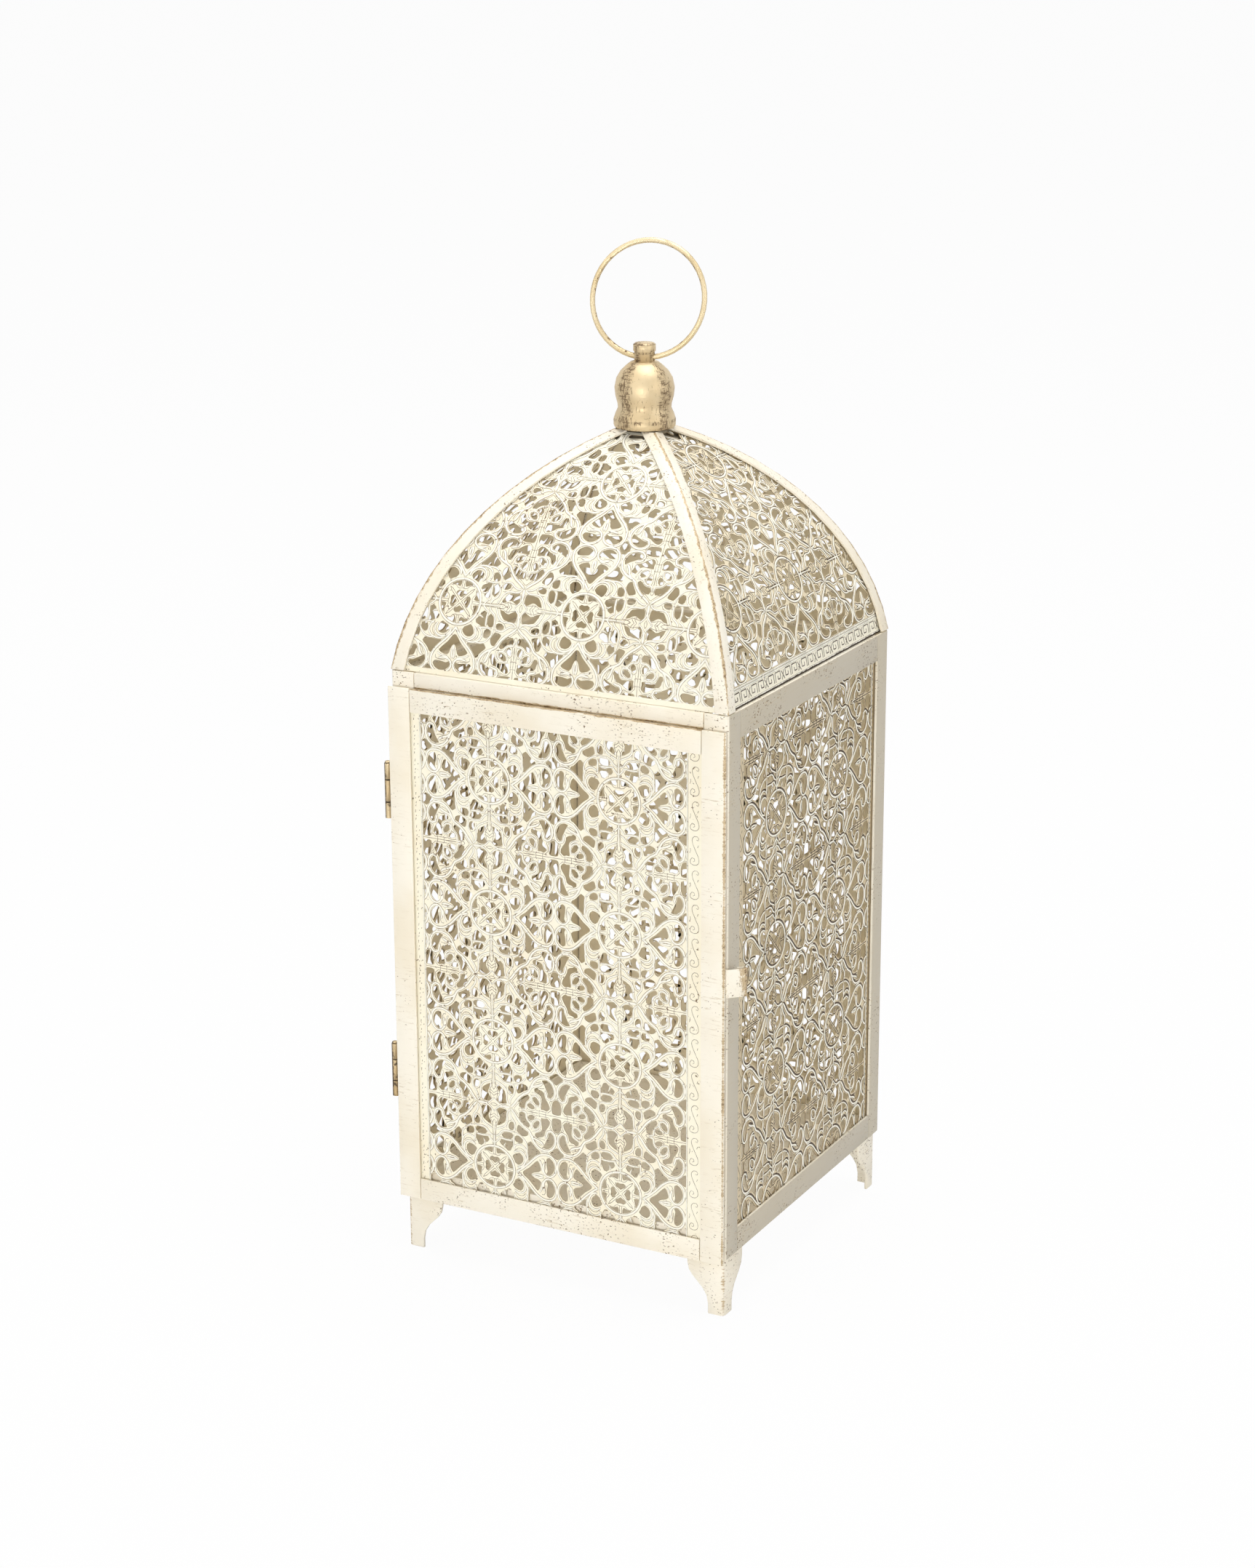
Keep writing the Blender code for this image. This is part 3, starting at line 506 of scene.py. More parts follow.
# one quarter of the repeat, in millimetres from the middle of its medallion
ringSide = [(6.3, 1.4), (8.2, 1.1), (8.4, 1.8), (7.9, 3.4), (7.1, 4.6), (6.5, 4.6), (7, 3.2)]
rosetteTop = [(0, 1.9), (0.9, 2.6), (1.9, 3), (2.1, 3.7), (1.3, 4.3), (0, 4)]
openings = {
    "leafEye": [(8.7, 6.3), (9.8, 7.4), (11.9, 8), (12.9, 7.1), (13.2, 5.7), (12.4, 4.1), (10.9, 3.2),
     (9.8, 4), (9.3, 5.3)],
    "kite": [(17, 14.2), (15.8, 13.4), (16, 10.5), (16.1, 8), (16, 6.1), (17.6, 7.2), (21.2, 10.3),
     (19.7, 11.5), (18.2, 13)],
    "heartInside": [(13.4, 0), (16.3, 2.6), (20, 6.3), (20.6, 5.6), (21.4, 2.8), (20.6, 2), (18.7, 1.5),
     (17.3, 0.7), (16.9, 0)],
    "lowCrescent": [(24.6, 8.1), (25.4, 8.6), (26.5, 8), (27.5, 6.5), (27.8, 4.9), (27.3, 3.1), (26.2, 1.7),
     (25.1, 1.1), (24.4, 1.6), (25, 2.7), (24.8, 4.2), (24.5, 6.2)],
    "highCrescent": [(22.8, 13.1), (24.2, 12.8), (26, 13.5), (27.2, 15.1), (27.7, 17), (27.2, 18.9),
     (26.3, 19.8), (25.6, 19.4), (25.5, 18), (24.7, 16.4), (24.1, 15), (23.5, 14)],
    "diamond": [(29.15, 13.6), (27.4, 12.1), (26.2, 11), (27.8, 9.8), (29.15, 9)],
    "slab": [(11.4, 20.4), (12.8, 19.7), (14.6, 18.6), (15.7, 18.1), (15.6, 17.2), (15, 16.7), (13.4, 16.3),
     (12, 17), (10.7, 18), (10.9, 18.9)],
    "boot": [(12, 26), (13, 26.4), (14.2, 26.2), (14.3, 24.7), (15.1, 23.1), (16.2, 22.1), (16.5, 21.3),
     (16, 20.6), (14.2, 21.5), (12.4, 23), (11.7, 24), (12.1, 25)],
    "loopEye": [(20.8, 23.9), (19.8, 23.7), (18.8, 22.7), (18.4, 21.5), (18.9, 20.9), (19.8, 21.2),
     (20.6, 22.3), (21, 23.3)],
    "hook": [(22.2, 25.5), (23.3, 25.3), (24.6, 25.7), (25.8, 24.6), (25.6, 23.5), (24.9, 22.2),
     (23.9, 20.8), (23.4, 19.5), (23.2, 18.3), (22.4, 17.7), (21, 17.4), (20.3, 16.7), (19.3, 17.3),
     (19.3, 18.2), (20.8, 18.9), (22, 19.6), (22.6, 20.8), (22.5, 22.5), (22.4, 24)],
    "gate": [(29.15, 26.5), (28.2, 26.5), (27.4, 26.2), (27.3, 24.5), (27.4, 22.5), (27.8, 21.3),
     (29.15, 20.6)],
    "smallLoop": [(15.9, 24.9), (16.6, 25.7), (17.9, 26), (18.9, 25.6), (18.4, 24.7), (17.2, 24.1),
     (16.3, 24.3)],
    "pip": [(7, 18.8), (7.1, 20), (7.8, 21.1), (8.7, 21.2), (9.1, 20), (9.1, 18.7), (8.4, 18), (7.4, 18.1)],
    "bean": [(3.6, 14.8), (4.6, 15.9), (6.4, 16.2), (8.2, 16.1), (8.6, 15.2), (7.6, 14), (6.2, 13.6),
     (4.6, 13.8)],
    "tooth": [(9.8, 13.9), (10.2, 15.5), (11.6, 15.6), (13.1, 14.1), (12.9, 13.1), (11.6, 12.9),
     (10.3, 13.2)],
    "cleft": [(2.7, 11.6), (3.3, 12.7), (5.5, 12.6), (8.4, 12.8), (8.9, 11.8), (8, 10.4), (7.3, 8.8),
     (6.3, 8.6), (5.6, 9.3), (4.6, 10.2), (3.4, 10.6)],
    "stemSide": [(1.5, 25.7), (3, 26.2), (5, 26), (6.2, 25), (5.8, 23.6), (5.2, 22.3), (5, 21), (3.8, 20),
     (2.6, 19.2), (1.5, 18.6), (1.9, 20), (2.8, 21.4), (3, 22.6), (2.3, 24)],
    "ringSide": ringSide,
    "ringTop": swapped(ringSide),
    "rosetteTop": rosetteTop,
    "rosetteSide": swapped(rosetteTop),
}
# the openings that a mirror line cuts, and which line
folds = {"heartInside": "acrossSide", "diamond": "acrossEdge", "gate": "acrossEdge", "rosetteTop": "acrossUp",
         "rosetteSide": "acrossSide"}
ridgeShare = 0.62  # of the half widths listed
starLines = ([(0, 5.5), (1.3, 5.2), (2.3, 5.5), (3, 6.3), (4.2, 6.7), (5.3, 6.3)],
             [(0, 0.6), (2.4, 3), (4.3, 4.9), (5.6, 5.6)], [(0.5, 5.6), (0.45, 7), (0.5, 8.6)])
# each ridge: its half width at the start and at the end, both 0 if it is only an etched line, then its points
ridges = [
    (0.78, 0.78, [(9.2 * math.cos(i * quarterTurn / 8), 9.2 * math.sin(i * quarterTurn / 8))
                  for i in range(9)]),
    *[(0, 0, shape) for points in starLines for shape in (points, swapped(points))],
    (0.75, 0.7, [(10.4, 0), (13.2, 2), (16, 4.6), (18.8, 7.5), (21.3, 9.3), (23.8, 10), (26.4, 9.7),
     (28.3, 7.9), (28.8, 5), (28.1, 2.2), (26.2, 0.55), (24.2, 0.75), (23, 2.2), (22.8, 4.4),
     (23.3, 6.4)]),
    (0, 0, [(22, 7.9), (23.1, 7.9), (23.7, 6.6), (23.8, 5), (23.8, 3.4)]),
    (0.5, 0.5, [(20.9, 7.3), (21.9, 5.6), (22.2, 3.6), (22.6, 1.8)]),
    (0.9, 0.4, [(22.9, 0.3), (21, 0.55), (19.2, 0.35), (17.6, 0)]),
    (0.8, 0.7, [(7.9, 27.4), (9.6, 25.4), (11.6, 22.6), (14, 20.4), (16.3, 19), (17.5, 16.8), (18.7, 14.4),
     (20.9, 12.4), (23.5, 11.7), (26.2, 12.3), (28, 14.2), (28.7, 17), (28.1, 19.6), (26.5, 20.8),
     (25, 20.2), (24.5, 18.6), (24, 17)]),
    (0.6, 0.9, [(17.1, 17.6), (18.6, 16.2), (20.4, 15.6), (22, 14.9), (23, 14)]),
    (0, 0, [(18.6, 15.6), (20.2, 14.2), (22, 13.6)]),
    (0, 0, [(20.6, 16.4), (22.2, 16.5), (23.6, 16.2)]),
    (0.55, 0.75, [(9, 8.2), (10.5, 9.1), (12.5, 9.2), (14, 8), (14.5, 6), (13.9, 3.9), (12.4, 2.4),
     (10.6, 2)]),
    (0.5, 0.7, [(8.7, 9.8), (10.2, 11.6), (12.6, 12.1), (14.5, 10.8), (15.3, 8.6), (15.3, 6.4),
     (14.9, 4.8)]),
    (0.5, 0.55, [(9.2, 16.9), (11.2, 16.5), (13.2, 15.3), (14.7, 13.7), (15.3, 11.6), (15.2, 9.6)]),
    (0.5, 0.5, [(9.6, 9.7), (9.2, 11.6), (9.1, 13.6), (9.1, 16)]),
    (0, 0, [(9.4, 9), (11.2, 10.4), (13.3, 10.2), (14.4, 9)]),
    (0, 0, [(0.75, 9.8), (0.7, 12), (0.6, 14.5), (0.8, 17), (1, 18.6), (0.5, 20.2), (0, 21)]),
    (0.6, 0.3, [(0, 9.6), (0, 12.4), (0, 15.4), (0, 18.4)]),
    (0, 0, [(0, 22.5), (0.9, 21.7), (1.8, 21.2)]),
    (0, 0, [(0, 23.6), (1.2, 22.7), (2.3, 22.4)]),
    (0.6, 0.4, [(7.6, 27.4), (5.8, 27.3), (3.8, 27.4), (2.4, 26.9), (1, 25.6), (0, 24.6)]),
    (0, 0, [(0, 26.9), (0.9, 27.1), (1.6, 27.5)]),
    (0.5, 0.6, [(0, 10.6), (1.7, 12.2), (2.4, 13.4), (5.2, 13.1), (8.7, 13.2)]),
    (0.6, 0.3, [(4.6, 9.2), (4.6, 10.4), (5.3, 11.8)]),
    (0.6, 0.5, [(0.4, 13.6), (2.2, 14.6), (3.6, 16.4), (5.6, 17.1), (8, 17), (9.6, 17.4)]),
    (0.6, 0.5, [(0.5, 16.6), (2.6, 17.6), (4.6, 18.6), (5.9, 20.2), (6.2, 22.2), (6.1, 24), (6.6, 25.8),
     (8, 27)]),
    (0.5, 0.6, [(9.5, 17.4), (9.8, 19.4), (9.7, 21.2), (8.6, 22.6), (7.6, 24.4), (7.6, 26.4)]),
    (0, 0, [(5.9, 18.2), (6, 19.9), (7, 21.6), (8.2, 22.2)]),
    (0, 0, [(0.6, 17.8), (0.9, 19.6), (1.9, 21.4), (1.6, 23.2), (1.2, 25), (1.9, 26.6), (3.8, 27),
     (5.8, 26.3)]),
    (0, 0, [(29.15, 27.5), (27, 27.5), (24.5, 27.5), (21.2, 27.5)]),
    (0, 0, [(24.3, 26.2), (24.1, 26.9), (24.1, 27.5)]),
    (0, 0, [(21.4, 26), (21.1, 26.8), (21.1, 27.5)]),
    (0, 0, [(20.6, 27.5), (19, 27.4), (17.4, 27.4), (15.4, 27.5)]),
    (0, 0, [(14, 27.5), (13.6, 26.8), (12.6, 26.7), (11.8, 27.1), (11.5, 27.5)]),
    (0, 0, [(9.4, 27.4), (10.6, 26), (12, 24.3), (12.8, 23)]),
    (0.55, 0.5, [(12.8, 27.2), (15, 26.8), (15.2, 24.8), (15.9, 23.5), (17.2, 22.6), (17.6, 21.4),
     (17.3, 19.8)]),
    (0, 0, [(15.4, 26.4), (17, 26.8), (19, 26.5), (19.8, 25.6), (19.2, 24.4), (17.7, 23.5),
     (16.4, 23.6)]),
    (0.5, 0.5, [(19.6, 24.6), (18.2, 23.7), (17.6, 22), (18.1, 20.4), (19.5, 20.2), (21.1, 21.4),
     (21.7, 23.2), (21.3, 24.7), (19.6, 24.6)]),
    (0, 0, [(19.6, 26.4), (21.2, 26.4), (23.4, 26.4), (25.2, 26.5), (26.6, 25.2), (26.6, 23.4),
     (26, 21.9), (26.6, 20.9)]),
    (0.5, 0.5, [(17.8, 19), (19.6, 19.3), (21.2, 20.4), (21.8, 22)]),
    (0, 0, [(26.7, 22.4), (27, 21.2), (28.2, 20.3), (29.15, 19.9)]),
    (0.5, 0.5, [(23.8, 10.8), (25.2, 11.1), (26.2, 12.2)]),
    (0.5, 0.5, [(21.6, 10.9), (23.6, 11), (25.4, 10.8)]),
]
scroll = {"across": 58.3, "up": 55.0, "sheet": 0.3, "rise": 0.3, "sunk": 0.02, "outlineStep": 1.0,
          "strandStep": 1.1, "etchedStep": 1.3, "chamfer": 0.08, "clear": 0.5, "tile": 6.5, "tipHalf": 0.6,
          "tipRise": 0.45, "behind": 0.4, "trim": (-2, 3), "merge": 1e-7}
# the dark skirt beside a raised line, glaze in the crease and on its wider side a painted shadow: its share
# of the half width, how much wider it gets, and on which side
skirts = {"front": (0.45, 0, (0, 0)), "side": (0.45, 1.4, (0.85, 0.5)), "dome": (0.45, 1.0, (0.5, -0.85)),
          "key": (0.3, 0, (0, 0))}
etchedHalf = {"front": 0.12, "side": 0.22, "dome": 0.17, "key": 0.13}
etchedRise = 0.05
grownHoles = {"front": 0.24, "side": 0.46, "dome": 0.28}  # how much wider the holes are
# section from left to right: shares of the half width, of the skirt and of the rise
strandSection = ((-1, -1, 0), (-1, 0, 0.15), (-0.4, 0, 1), (0.4, 0, 1), (1, 0, 0.15), (1, 1, 0))
near = 0.05  # millimetres from a mirror line that count as on it


def through(points, step, closed=False):  # a smooth curve through the points, cut into steps
    points = [Vector(p) for p in points]
    if closed:
        run = [points[-1], *points, points[0], points[1]]
    else:
        run = [2 * points[0] - points[1], *points, 2 * points[-1] - points[-2]]
    made = []
    for a, b, c, d in zip(run, run[1:], run[2:], run[3:]):
        count = max(1, round((c - b).length / step))
        for k in range(count):
            t = k / count
            made.append(0.5 * (2 * b + (c - a) * t + (2 * a - 5 * b + 4 * c - d) * t * t
                               + (3 * b - a - 3 * c + d) * t ** 3))
    if not closed:
        made.append(points[-1])
    return made


def pushedOut(points, by):  # an outline that turns left, made wider
    count = len(points)
    made = []
    for i, p in enumerate(points):
        along = (points[(i + 1) % count] - points[i - 1]).normalized()
        made.append(p + Vector((along.y, -along.x)) * by)
    return made


def addRing(work, points):
    return [work.verts.new(p) for p in points]


def bridge(work, lower, upper):
    for i in range(len(lower)):
        j = (i + 1) % len(lower)
        work.faces.new((lower[i], lower[j], upper[j], upper[i]))


def punch(work, outline, wider):  # a closed punch, wider at the sheet's front so that the edge is eased
    points = through(outline, scroll["outlineStep"], True)
    if sum(a.cross(b) for a, b in zip(points, points[1:] + points[:1])) < 0:
        points.reverse()
    points = pushedOut(points, wider)
    pushed = pushedOut(points, scroll["chamfer"])
    top = scroll["sheet"]
    levels = ((points, -scroll["clear"]), (points, top - scroll["chamfer"]), (pushed, top),
              (pushed, top + scroll["clear"]))
    rings = [addRing(work, [Vector((p.x, p.y, z)) * mm for p in level]) for level, z in levels]
    for lower, upper in zip(rings, rings[1:]):
        bridge(work, lower, upper)
    work.faces.new(list(reversed(rings[0])))
    work.faces.new(rings[-1])


def strand(work, path, halves, rises, look):  # a raised line that stands on the sheet
    width, shadowWidth, lean = skirts[look]
    rings = []
    for i, p in enumerate(path):
        along = (path[min(i + 1, len(path) - 1)] - path[max(i - 1, 0)]).normalized()
        aside = Vector((-along.y, along.x))
        spots = []
        for share, skirt, height in strandSection:
            # the skirt reaches further on one side, where it carries a painted shadow
            reach = skirt * (width * halves[i] + shadowWidth * max(0, aside.dot(lean) * skirt))
            flat = p + aside * (halves[i] * share + reach)
            level = scroll["sheet"] - scroll["sunk"] + (rises[i] + scroll["sunk"]) * height
            spots.append(Vector((flat.x, flat.y, level)) * mm)
        rings.append(addRing(work, spots))
    for lower, upper in zip(rings, rings[1:]):
        bridge(work, lower, upper)
    work.faces.new(rings[0])
    work.faces.new(list(reversed(rings[-1])))


def whole(points, fold):  # an outline with its other half across a mirror line
    if not fold:
        return points
    turned = {"acrossUp": [(-x, y) for x, y in points], "acrossSide": [(x, -y) for x, y in points],
              "acrossEdge": [(scroll["across"] - x, y) for x, y in points]}[fold]
    return points + turned[-2:0:-1]


def onMirror(point):  # true where the strand meets its own mirror image
    gaps = [abs(abs(value) - line) for value, size in zip(point, (scroll["across"], scroll["up"]))
            for line in (0, size / 2)]
    return min(gaps) < near


def quarters(points):  # each different mirror image of a quarter's points
    kept = {}
    for across in (1, -1):
        for up in (1, -1):
            image = [(x * across, y * up) for x, y in points]
            place = frozenset((round(x, 2) + 0.0, round(y, 2) + 0.0) for x, y in image)
            if not (up < 0 and min(y for x, y in points) > scroll["up"] / 2 - near):
                kept.setdefault(place, image)
    return kept.values()


def freeStrand(work, points, startHalf, endHalf, look):  # its free ends narrow and sink
    path = through(points, scroll["strandStep"])
    last = len(path) - 1
    halves = [startHalf + (endHalf - startHalf) * i / last for i in range(last + 1)]
    rises = [scroll["rise"]] * (last + 1)
    if points[0] != points[-1]:
        for end, i in ((points[0], 0), (points[-1], last)):
            if not onMirror(end):
                halves[i] *= scroll["tipHalf"]
                rises[i] *= scroll["tipRise"]
    strand(work, path, halves, rises, look)


def plainStrand(work, path, half, look, rise=scroll["rise"]):
    strand(work, path, [half] * len(path), [rise] * len(path), look)


def etched(work, path, half=etchedHalf["key"]):
    plainStrand(work, path, half, "key", etchedRise)


def fillPunches(work, look):
    for name, points in openings.items():
        fold = folds.get(name)
        for image in quarters(whole(points, fold)):
            if not (fold == "acrossEdge" and image[0][0] < 0):
                punch(work, image, grownHoles[look])


def fillRelief(work, look):
    for startHalf, endHalf, points in ridges:
        for image in quarters(points):
            if startHalf:
                freeStrand(work, image, startHalf * ridgeShare, endHalf * ridgeShare, look)
            else:
                etched(work, through(image, scroll["etchedStep"]), etchedHalf[look])


def repeatMesh(fill, look):
    mesh = bpy.data.meshes.new("repeat")
    work = bmesh.new()
    fill(work, look)
    bmesh.ops.recalc_face_normals(work, faces=work.faces)
    bmesh.ops.triangulate(work, faces=[f for f in work.faces if len(f.verts) > 4])
    work.to_mesh(mesh)
    work.free()
    return mesh


punchMeshes = {look: repeatMesh(fillPunches, look) for look in scrollLooks}
reliefMeshes = {look: repeatMesh(fillRelief, look) for look in scrollLooks}
print("scroll repeat made:", len(punchMeshes["front"].polygons), len(reliefMeshes["front"].polygons), "faces")


def newTree(name, inputs):
    nodeTree = bpy.data.node_groups.new(name, "GeometryNodeTree")
    nodeTree.interface.new_socket("Geometry", in_out="INPUT", socket_type="NodeSocketGeometry")
    nodeTree.interface.new_socket("Geometry", in_out="OUTPUT", socket_type="NodeSocketGeometry")
    for label, kind in inputs.items():
        nodeTree.interface.new_socket(label, in_out="INPUT", socket_type="NodeSocket" + kind)
    tree = Tree(nodeTree)
    entry = nodeTree.nodes.new("NodeGroupInput")
    given = {socket.name: Value(tree, socket) for socket in entry.outputs if socket.name}
    return tree, given


def endTree(tree, geometry, material):
    solid = tree.make("GeometryNodeRealizeInstances", None, {"Geometry": geometry})
    painted = tree.make("GeometryNodeSetMaterial", None, {"Geometry": solid, "Material": material})
    out = tree.nodeTree.nodes.new("NodeGroupOutput")
    tree.feed(out.inputs[0], painted)
    return tree.nodeTree


def grown(base, nodeTree, values):  # runs a tree on a mesh and gives the plain mesh
    source = placed("grown", base)
    modifier = source.modifiers.new("grow", "NODES")
    modifier.node_group = nodeTree
    for item in nodeTree.interface.items_tree:
        if item.in_out == "INPUT" and item.name in values:
            modifier[item.identifier] = values[item.name]
    return frozen(source)


def repeatTree(name, raised):
    # sets the repeat out on a grid; punches kept inside the window are cut from the base mesh,
    # and a raised repeat is trimmed by the base mesh, which is then the window
    inputs = {"Shape": "Object", "Columns": "Int", "Rows": "Int", "Pitch Across": "Float",
              "Pitch Up": "Float", "Middle": "Vector", "Total": "Float", "Finish": "Material"}
    tree, given = newTree(name, inputs if raised else {"Window": "Object", **inputs})
    columns, rows = given["Columns"], given["Rows"]
    grid = tree.make("GeometryNodeMeshGrid", None, {
        "Size X": (columns - 1) * given["Pitch Across"], "Size Y": (rows - 1) * given["Pitch Up"],
        "Vertices X": columns, "Vertices Y": rows})
    spots = tree.make("GeometryNodeSetPosition", None, {"Geometry": grid, "Offset": given["Middle"]})
    shape = tree.make("GeometryNodeObjectInfo", None, {"Object": given["Shape"]}, "Geometry")
    copies = tree.make("GeometryNodeInstanceOnPoints", None, {"Points": spots, "Instance": shape})
    spread = tree.make("GeometryNodeRealizeInstances", None, {"Geometry": copies})
    trim = given["Geometry"]
    if not raised:
        trim = tree.make("GeometryNodeObjectInfo", None, {"Object": given["Window"]}, "Geometry")
    kept = tree.make("GeometryNodeMeshBoolean", {"operation": "INTERSECT", "solver": "MANIFOLD"},
                     {"Mesh 2": spread})
    tree.feed(kept.socket.node.inputs["Mesh 2"], trim)
    if not raised:
        kept = tree.make("GeometryNodeMeshBoolean", {"operation": "DIFFERENCE", "solver": "MANIFOLD"},
                         {"Mesh 1": given["Geometry"], "Mesh 2": kept})
    height = tree.split(tree.make("GeometryNodeInputPosition"))[2]
    marked = tree.make("GeometryNodeStoreNamedAttribute", {"data_type": "FLOAT", "domain": "POINT"},
                       {"Geometry": kept, "Name": "relief", "Value": height / given["Total"]})
    return endTree(tree, marked, given["Finish"])


def slabMesh(outline, low, high, tile=0):
    # a flat outline drawn up to a thickness, in millimetres; tile cuts it into squares of that size
    mesh = bpy.data.meshes.new("slab")
    work = bmesh.new()
    bottom = addRing(work, [Vector((x, y, low)) * mm for x, y in outline])
    top = addRing(work, [Vector((x, y, high)) * mm for x, y in outline])
    bridge(work, bottom, top)
    work.faces.new(list(reversed(bottom)))
    work.faces.new(top)
    bmesh.ops.recalc_face_normals(work, faces=work.faces)
    for axis in (0, 1):
        ends = [point[axis] for point in outline]
        cuts = math.ceil((max(ends) - min(ends)) / tile) if tile else 1
        for i in range(1, cuts):
            at = Vector()
            at[axis] = (min(ends) + (max(ends) - min(ends)) * i / cuts) * mm
            facing = Vector([float(k == axis) for k in range(3)])
            bmesh.ops.bisect_plane(work, geom=work.verts[:] + work.edges[:] + work.faces[:],
                                   dist=scroll["merge"], plane_co=at, plane_no=facing)
    if tile:
        bmesh.ops.triangulate(work, faces=work.faces[:])
    work.to_mesh(mesh)
    work.free()
    return mesh


def box2d(left, low, right, high):
    return [(left, low), (right, low), (right, high), (left, high)]


def trimMesh(outline):  # a slab that reaches well over and under a sheet
    return slabMesh(outline, *scroll["trim"])


pierced = repeatTree("piercedSheet", False)
raised = repeatTree("raisedLines", True)


def spreadOver(look, tree, base, shape, first, counts, pitches, window=None, turned=False):
    # first is the middle of the repeat's lowest left place
    shapeMesh = shape.copy()
    if turned:
        shapeMesh.transform(Matrix.Rotation(quarterTurn, 4, "Z"))
    parts = {"Shape": placed("shape", shapeMesh)}
    if window:
        parts["Window"] = placed("window", trimMesh(window))
    middle = [(start + (count - 1) * pitch / 2) * mm for start, count, pitch in zip(first, counts, pitches)]
    mesh = grown(base, tree, {
        **parts, "Columns": counts[0], "Rows": counts[1], "Pitch Across": pitches[0] * mm,
        "Pitch Up": pitches[1] * mm, "Middle": (*middle, 0), "Total": (scroll["sheet"] + scroll["rise"]) * mm,
        "Finish": scrollLooks[look]})
    for part in parts.values():
        bpy.data.objects.remove(part)
    return mesh


def scrollPair(look, blank, window, medallion, counts, turned=False):
    # the pierced sheet and the raised lines on it; medallion is the middle of a low left one
    pitches = (scroll["up"], scroll["across"]) if turned else (scroll["across"], scroll["up"])
    blankMesh = slabMesh(blank, 0, scroll["sheet"], scroll["tile"])
    sheet = spreadOver(look, pierced, blankMesh, punchMeshes[look], medallion, counts, pitches, window,
                       turned)
    relief = spreadOver(look, raised, trimMesh(window), reliefMeshes[look], medallion, counts, pitches,
                        turned=turned)
    return sheet, relief


def stand(mesh, back, turn=0.0):  # stands a flat sheet up a little in front of y = -back, then turns it
    mesh.transform(Matrix.Rotation(turn, 4, "Z") @ Matrix.Translation((0, -(back + scroll["behind"]) * mm, 0))
                   @ Matrix.Rotation(quarterTurn, 4, "X"))
    return mesh


def addSheet(name, mesh, body, *replaced):
    shade(mesh, sharpFrom["raised" if name.endswith(("relief", "border")) else "pierced"])
    addPiece(name, mesh, body, "pierced_sheet", mesh.materials[-1], *replaced)
    print(name, len(mesh.polygons), "faces")


# the borders' repeats, in millimetres from the middle of their strips
border = {"pitch": 13.9, "lineHalf": 0.28, "halfWidth": 2.9, "step": 0.9, "over": 0.1, "low": 28.9}
dots = {"count": 6, "aside": 1.1, "length": 1.0, "half": 0.3}
sScroll = [(1, 4), (1.7, 3.7), (2, 4.5), (1.4, 5.3), (0.2, 5.3), (-0.8, 4.2), (-0.7, 2.6), (0, 0.9),
           (0.9, -1), (1.9, -3.1), (2.1, -4.9), (1.2, -6.1), (-0.3, -6.3), (-1.5, -5.8), (-1.6, -4.4),
           (-0.9, -3.4), (0.1, -3.7), (0.3, -4.6), (-0.4, -5)]
buds = ([(-1.9, -1.6), (-1.5, -0.6), (-1.6, 0.4)], [(1.9, 1.9), (1.5, 0.9)])
keyHook = [(0.7, -2.1), (0.7, 1.9), (5.2, 1.9), (5.2, -1), (2.9, -1), (2.9, 0.5)]
key = {"pitch": 15.0, "half": 0.26, "slant": (1.2, -1.9, 1.7), "lines": (-3.0, 2.9, 3.9), "lineHalf": 0.3,
       "corner": 0.06, "low": 0.7, "high": 8.2, "inset": 1.2, "steps": 4, "first": (-67.5, 3.9), "count": 10}
# small dashes beside the margin's line: how far aside, start and length
marginDashes = [(-2.9, -6.2, 0.9), (-2.7, -4.6, 0.5), (-3, -3.1, 1.3), (-2.8, -0.4, 0.5), (-2.6, 0.9, 0.7),
                (-2.9, 2.8, 0.4), (-2.7, 4.4, 1.1), (-1.2, -2.2, 0.4), (-1.4, 3.3, 0.5)]
dash = {"lean": 0.15, "half": 0.15}


def corneredPath(points):  # keeps square corners square
    path = []
    for a, b in zip(points, points[1:]):
        a, b = Vector(a), Vector(b)
        path += [a + (b - a) * key["corner"], b - (b - a) * key["corner"]]
    return path


def longLine(work, aside, look):  # a raised line along a border, aside from its middle
    reach = border["pitch"] / 2 + border["over"]
    plainStrand(work, [Vector((aside, y)) for y in (-reach, reach)], border["lineHalf"], look)


def fillBorder(work, look):
    for points in (sScroll, *buds):
        etched(work, through(points, border["step"]))
    longLine(work, -border["halfWidth"], look)


def fillMargin(work, look):
    longLine(work, 0, look)
    for aside, low, length in marginDashes:
        etched(work, [Vector((aside, low)), Vector((aside + dash["lean"], low + length))], dash["half"])


def fillEdge(work, look):  # a raised line with a row of small dark dots
    longLine(work, 0, look)
    for i in range(dots["count"]):
        low = (i / dots["count"] - 0.5) * border["pitch"]
        etched(work, [Vector((dots["aside"], y)) for y in (low, low + dots["length"])], dots["half"])


def fillKey(work, look):
    out, low, high = key["slant"]
    for across in (1, -1):
        shifted = [(across * (x - key["pitch"] / 2), y) for x, y in keyHook]
        etched(work, corneredPath(shifted), key["half"])
        etched(work, [Vector((-out * across, low)), Vector((out * across, high))], key["half"])
    reach = key["pitch"] / 2 + border["over"]
    for y in key["lines"]:
        plainStrand(work, [Vector((-reach, y)), Vector((reach, y))], key["lineHalf"], look)


borderMesh = repeatMesh(fillBorder, "front")
keyMesh = repeatMesh(fillKey, "key")
marginMesh = repeatMesh(fillMargin, "front")
edgeMesh = repeatMesh(fillEdge, "side")


def borderRun(look, middle, top, strip, shape):
    # the border's repeats up a strip; top is the middle of the highest whole repeat
    count = math.ceil((top - border["low"]) / border["pitch"]) + 2
    lowest = (middle, top - (count - 2) * border["pitch"])
    return spreadOver(look, raised, trimMesh(strip), shape, lowest, (1, count),
                      (border["pitch"], border["pitch"]))


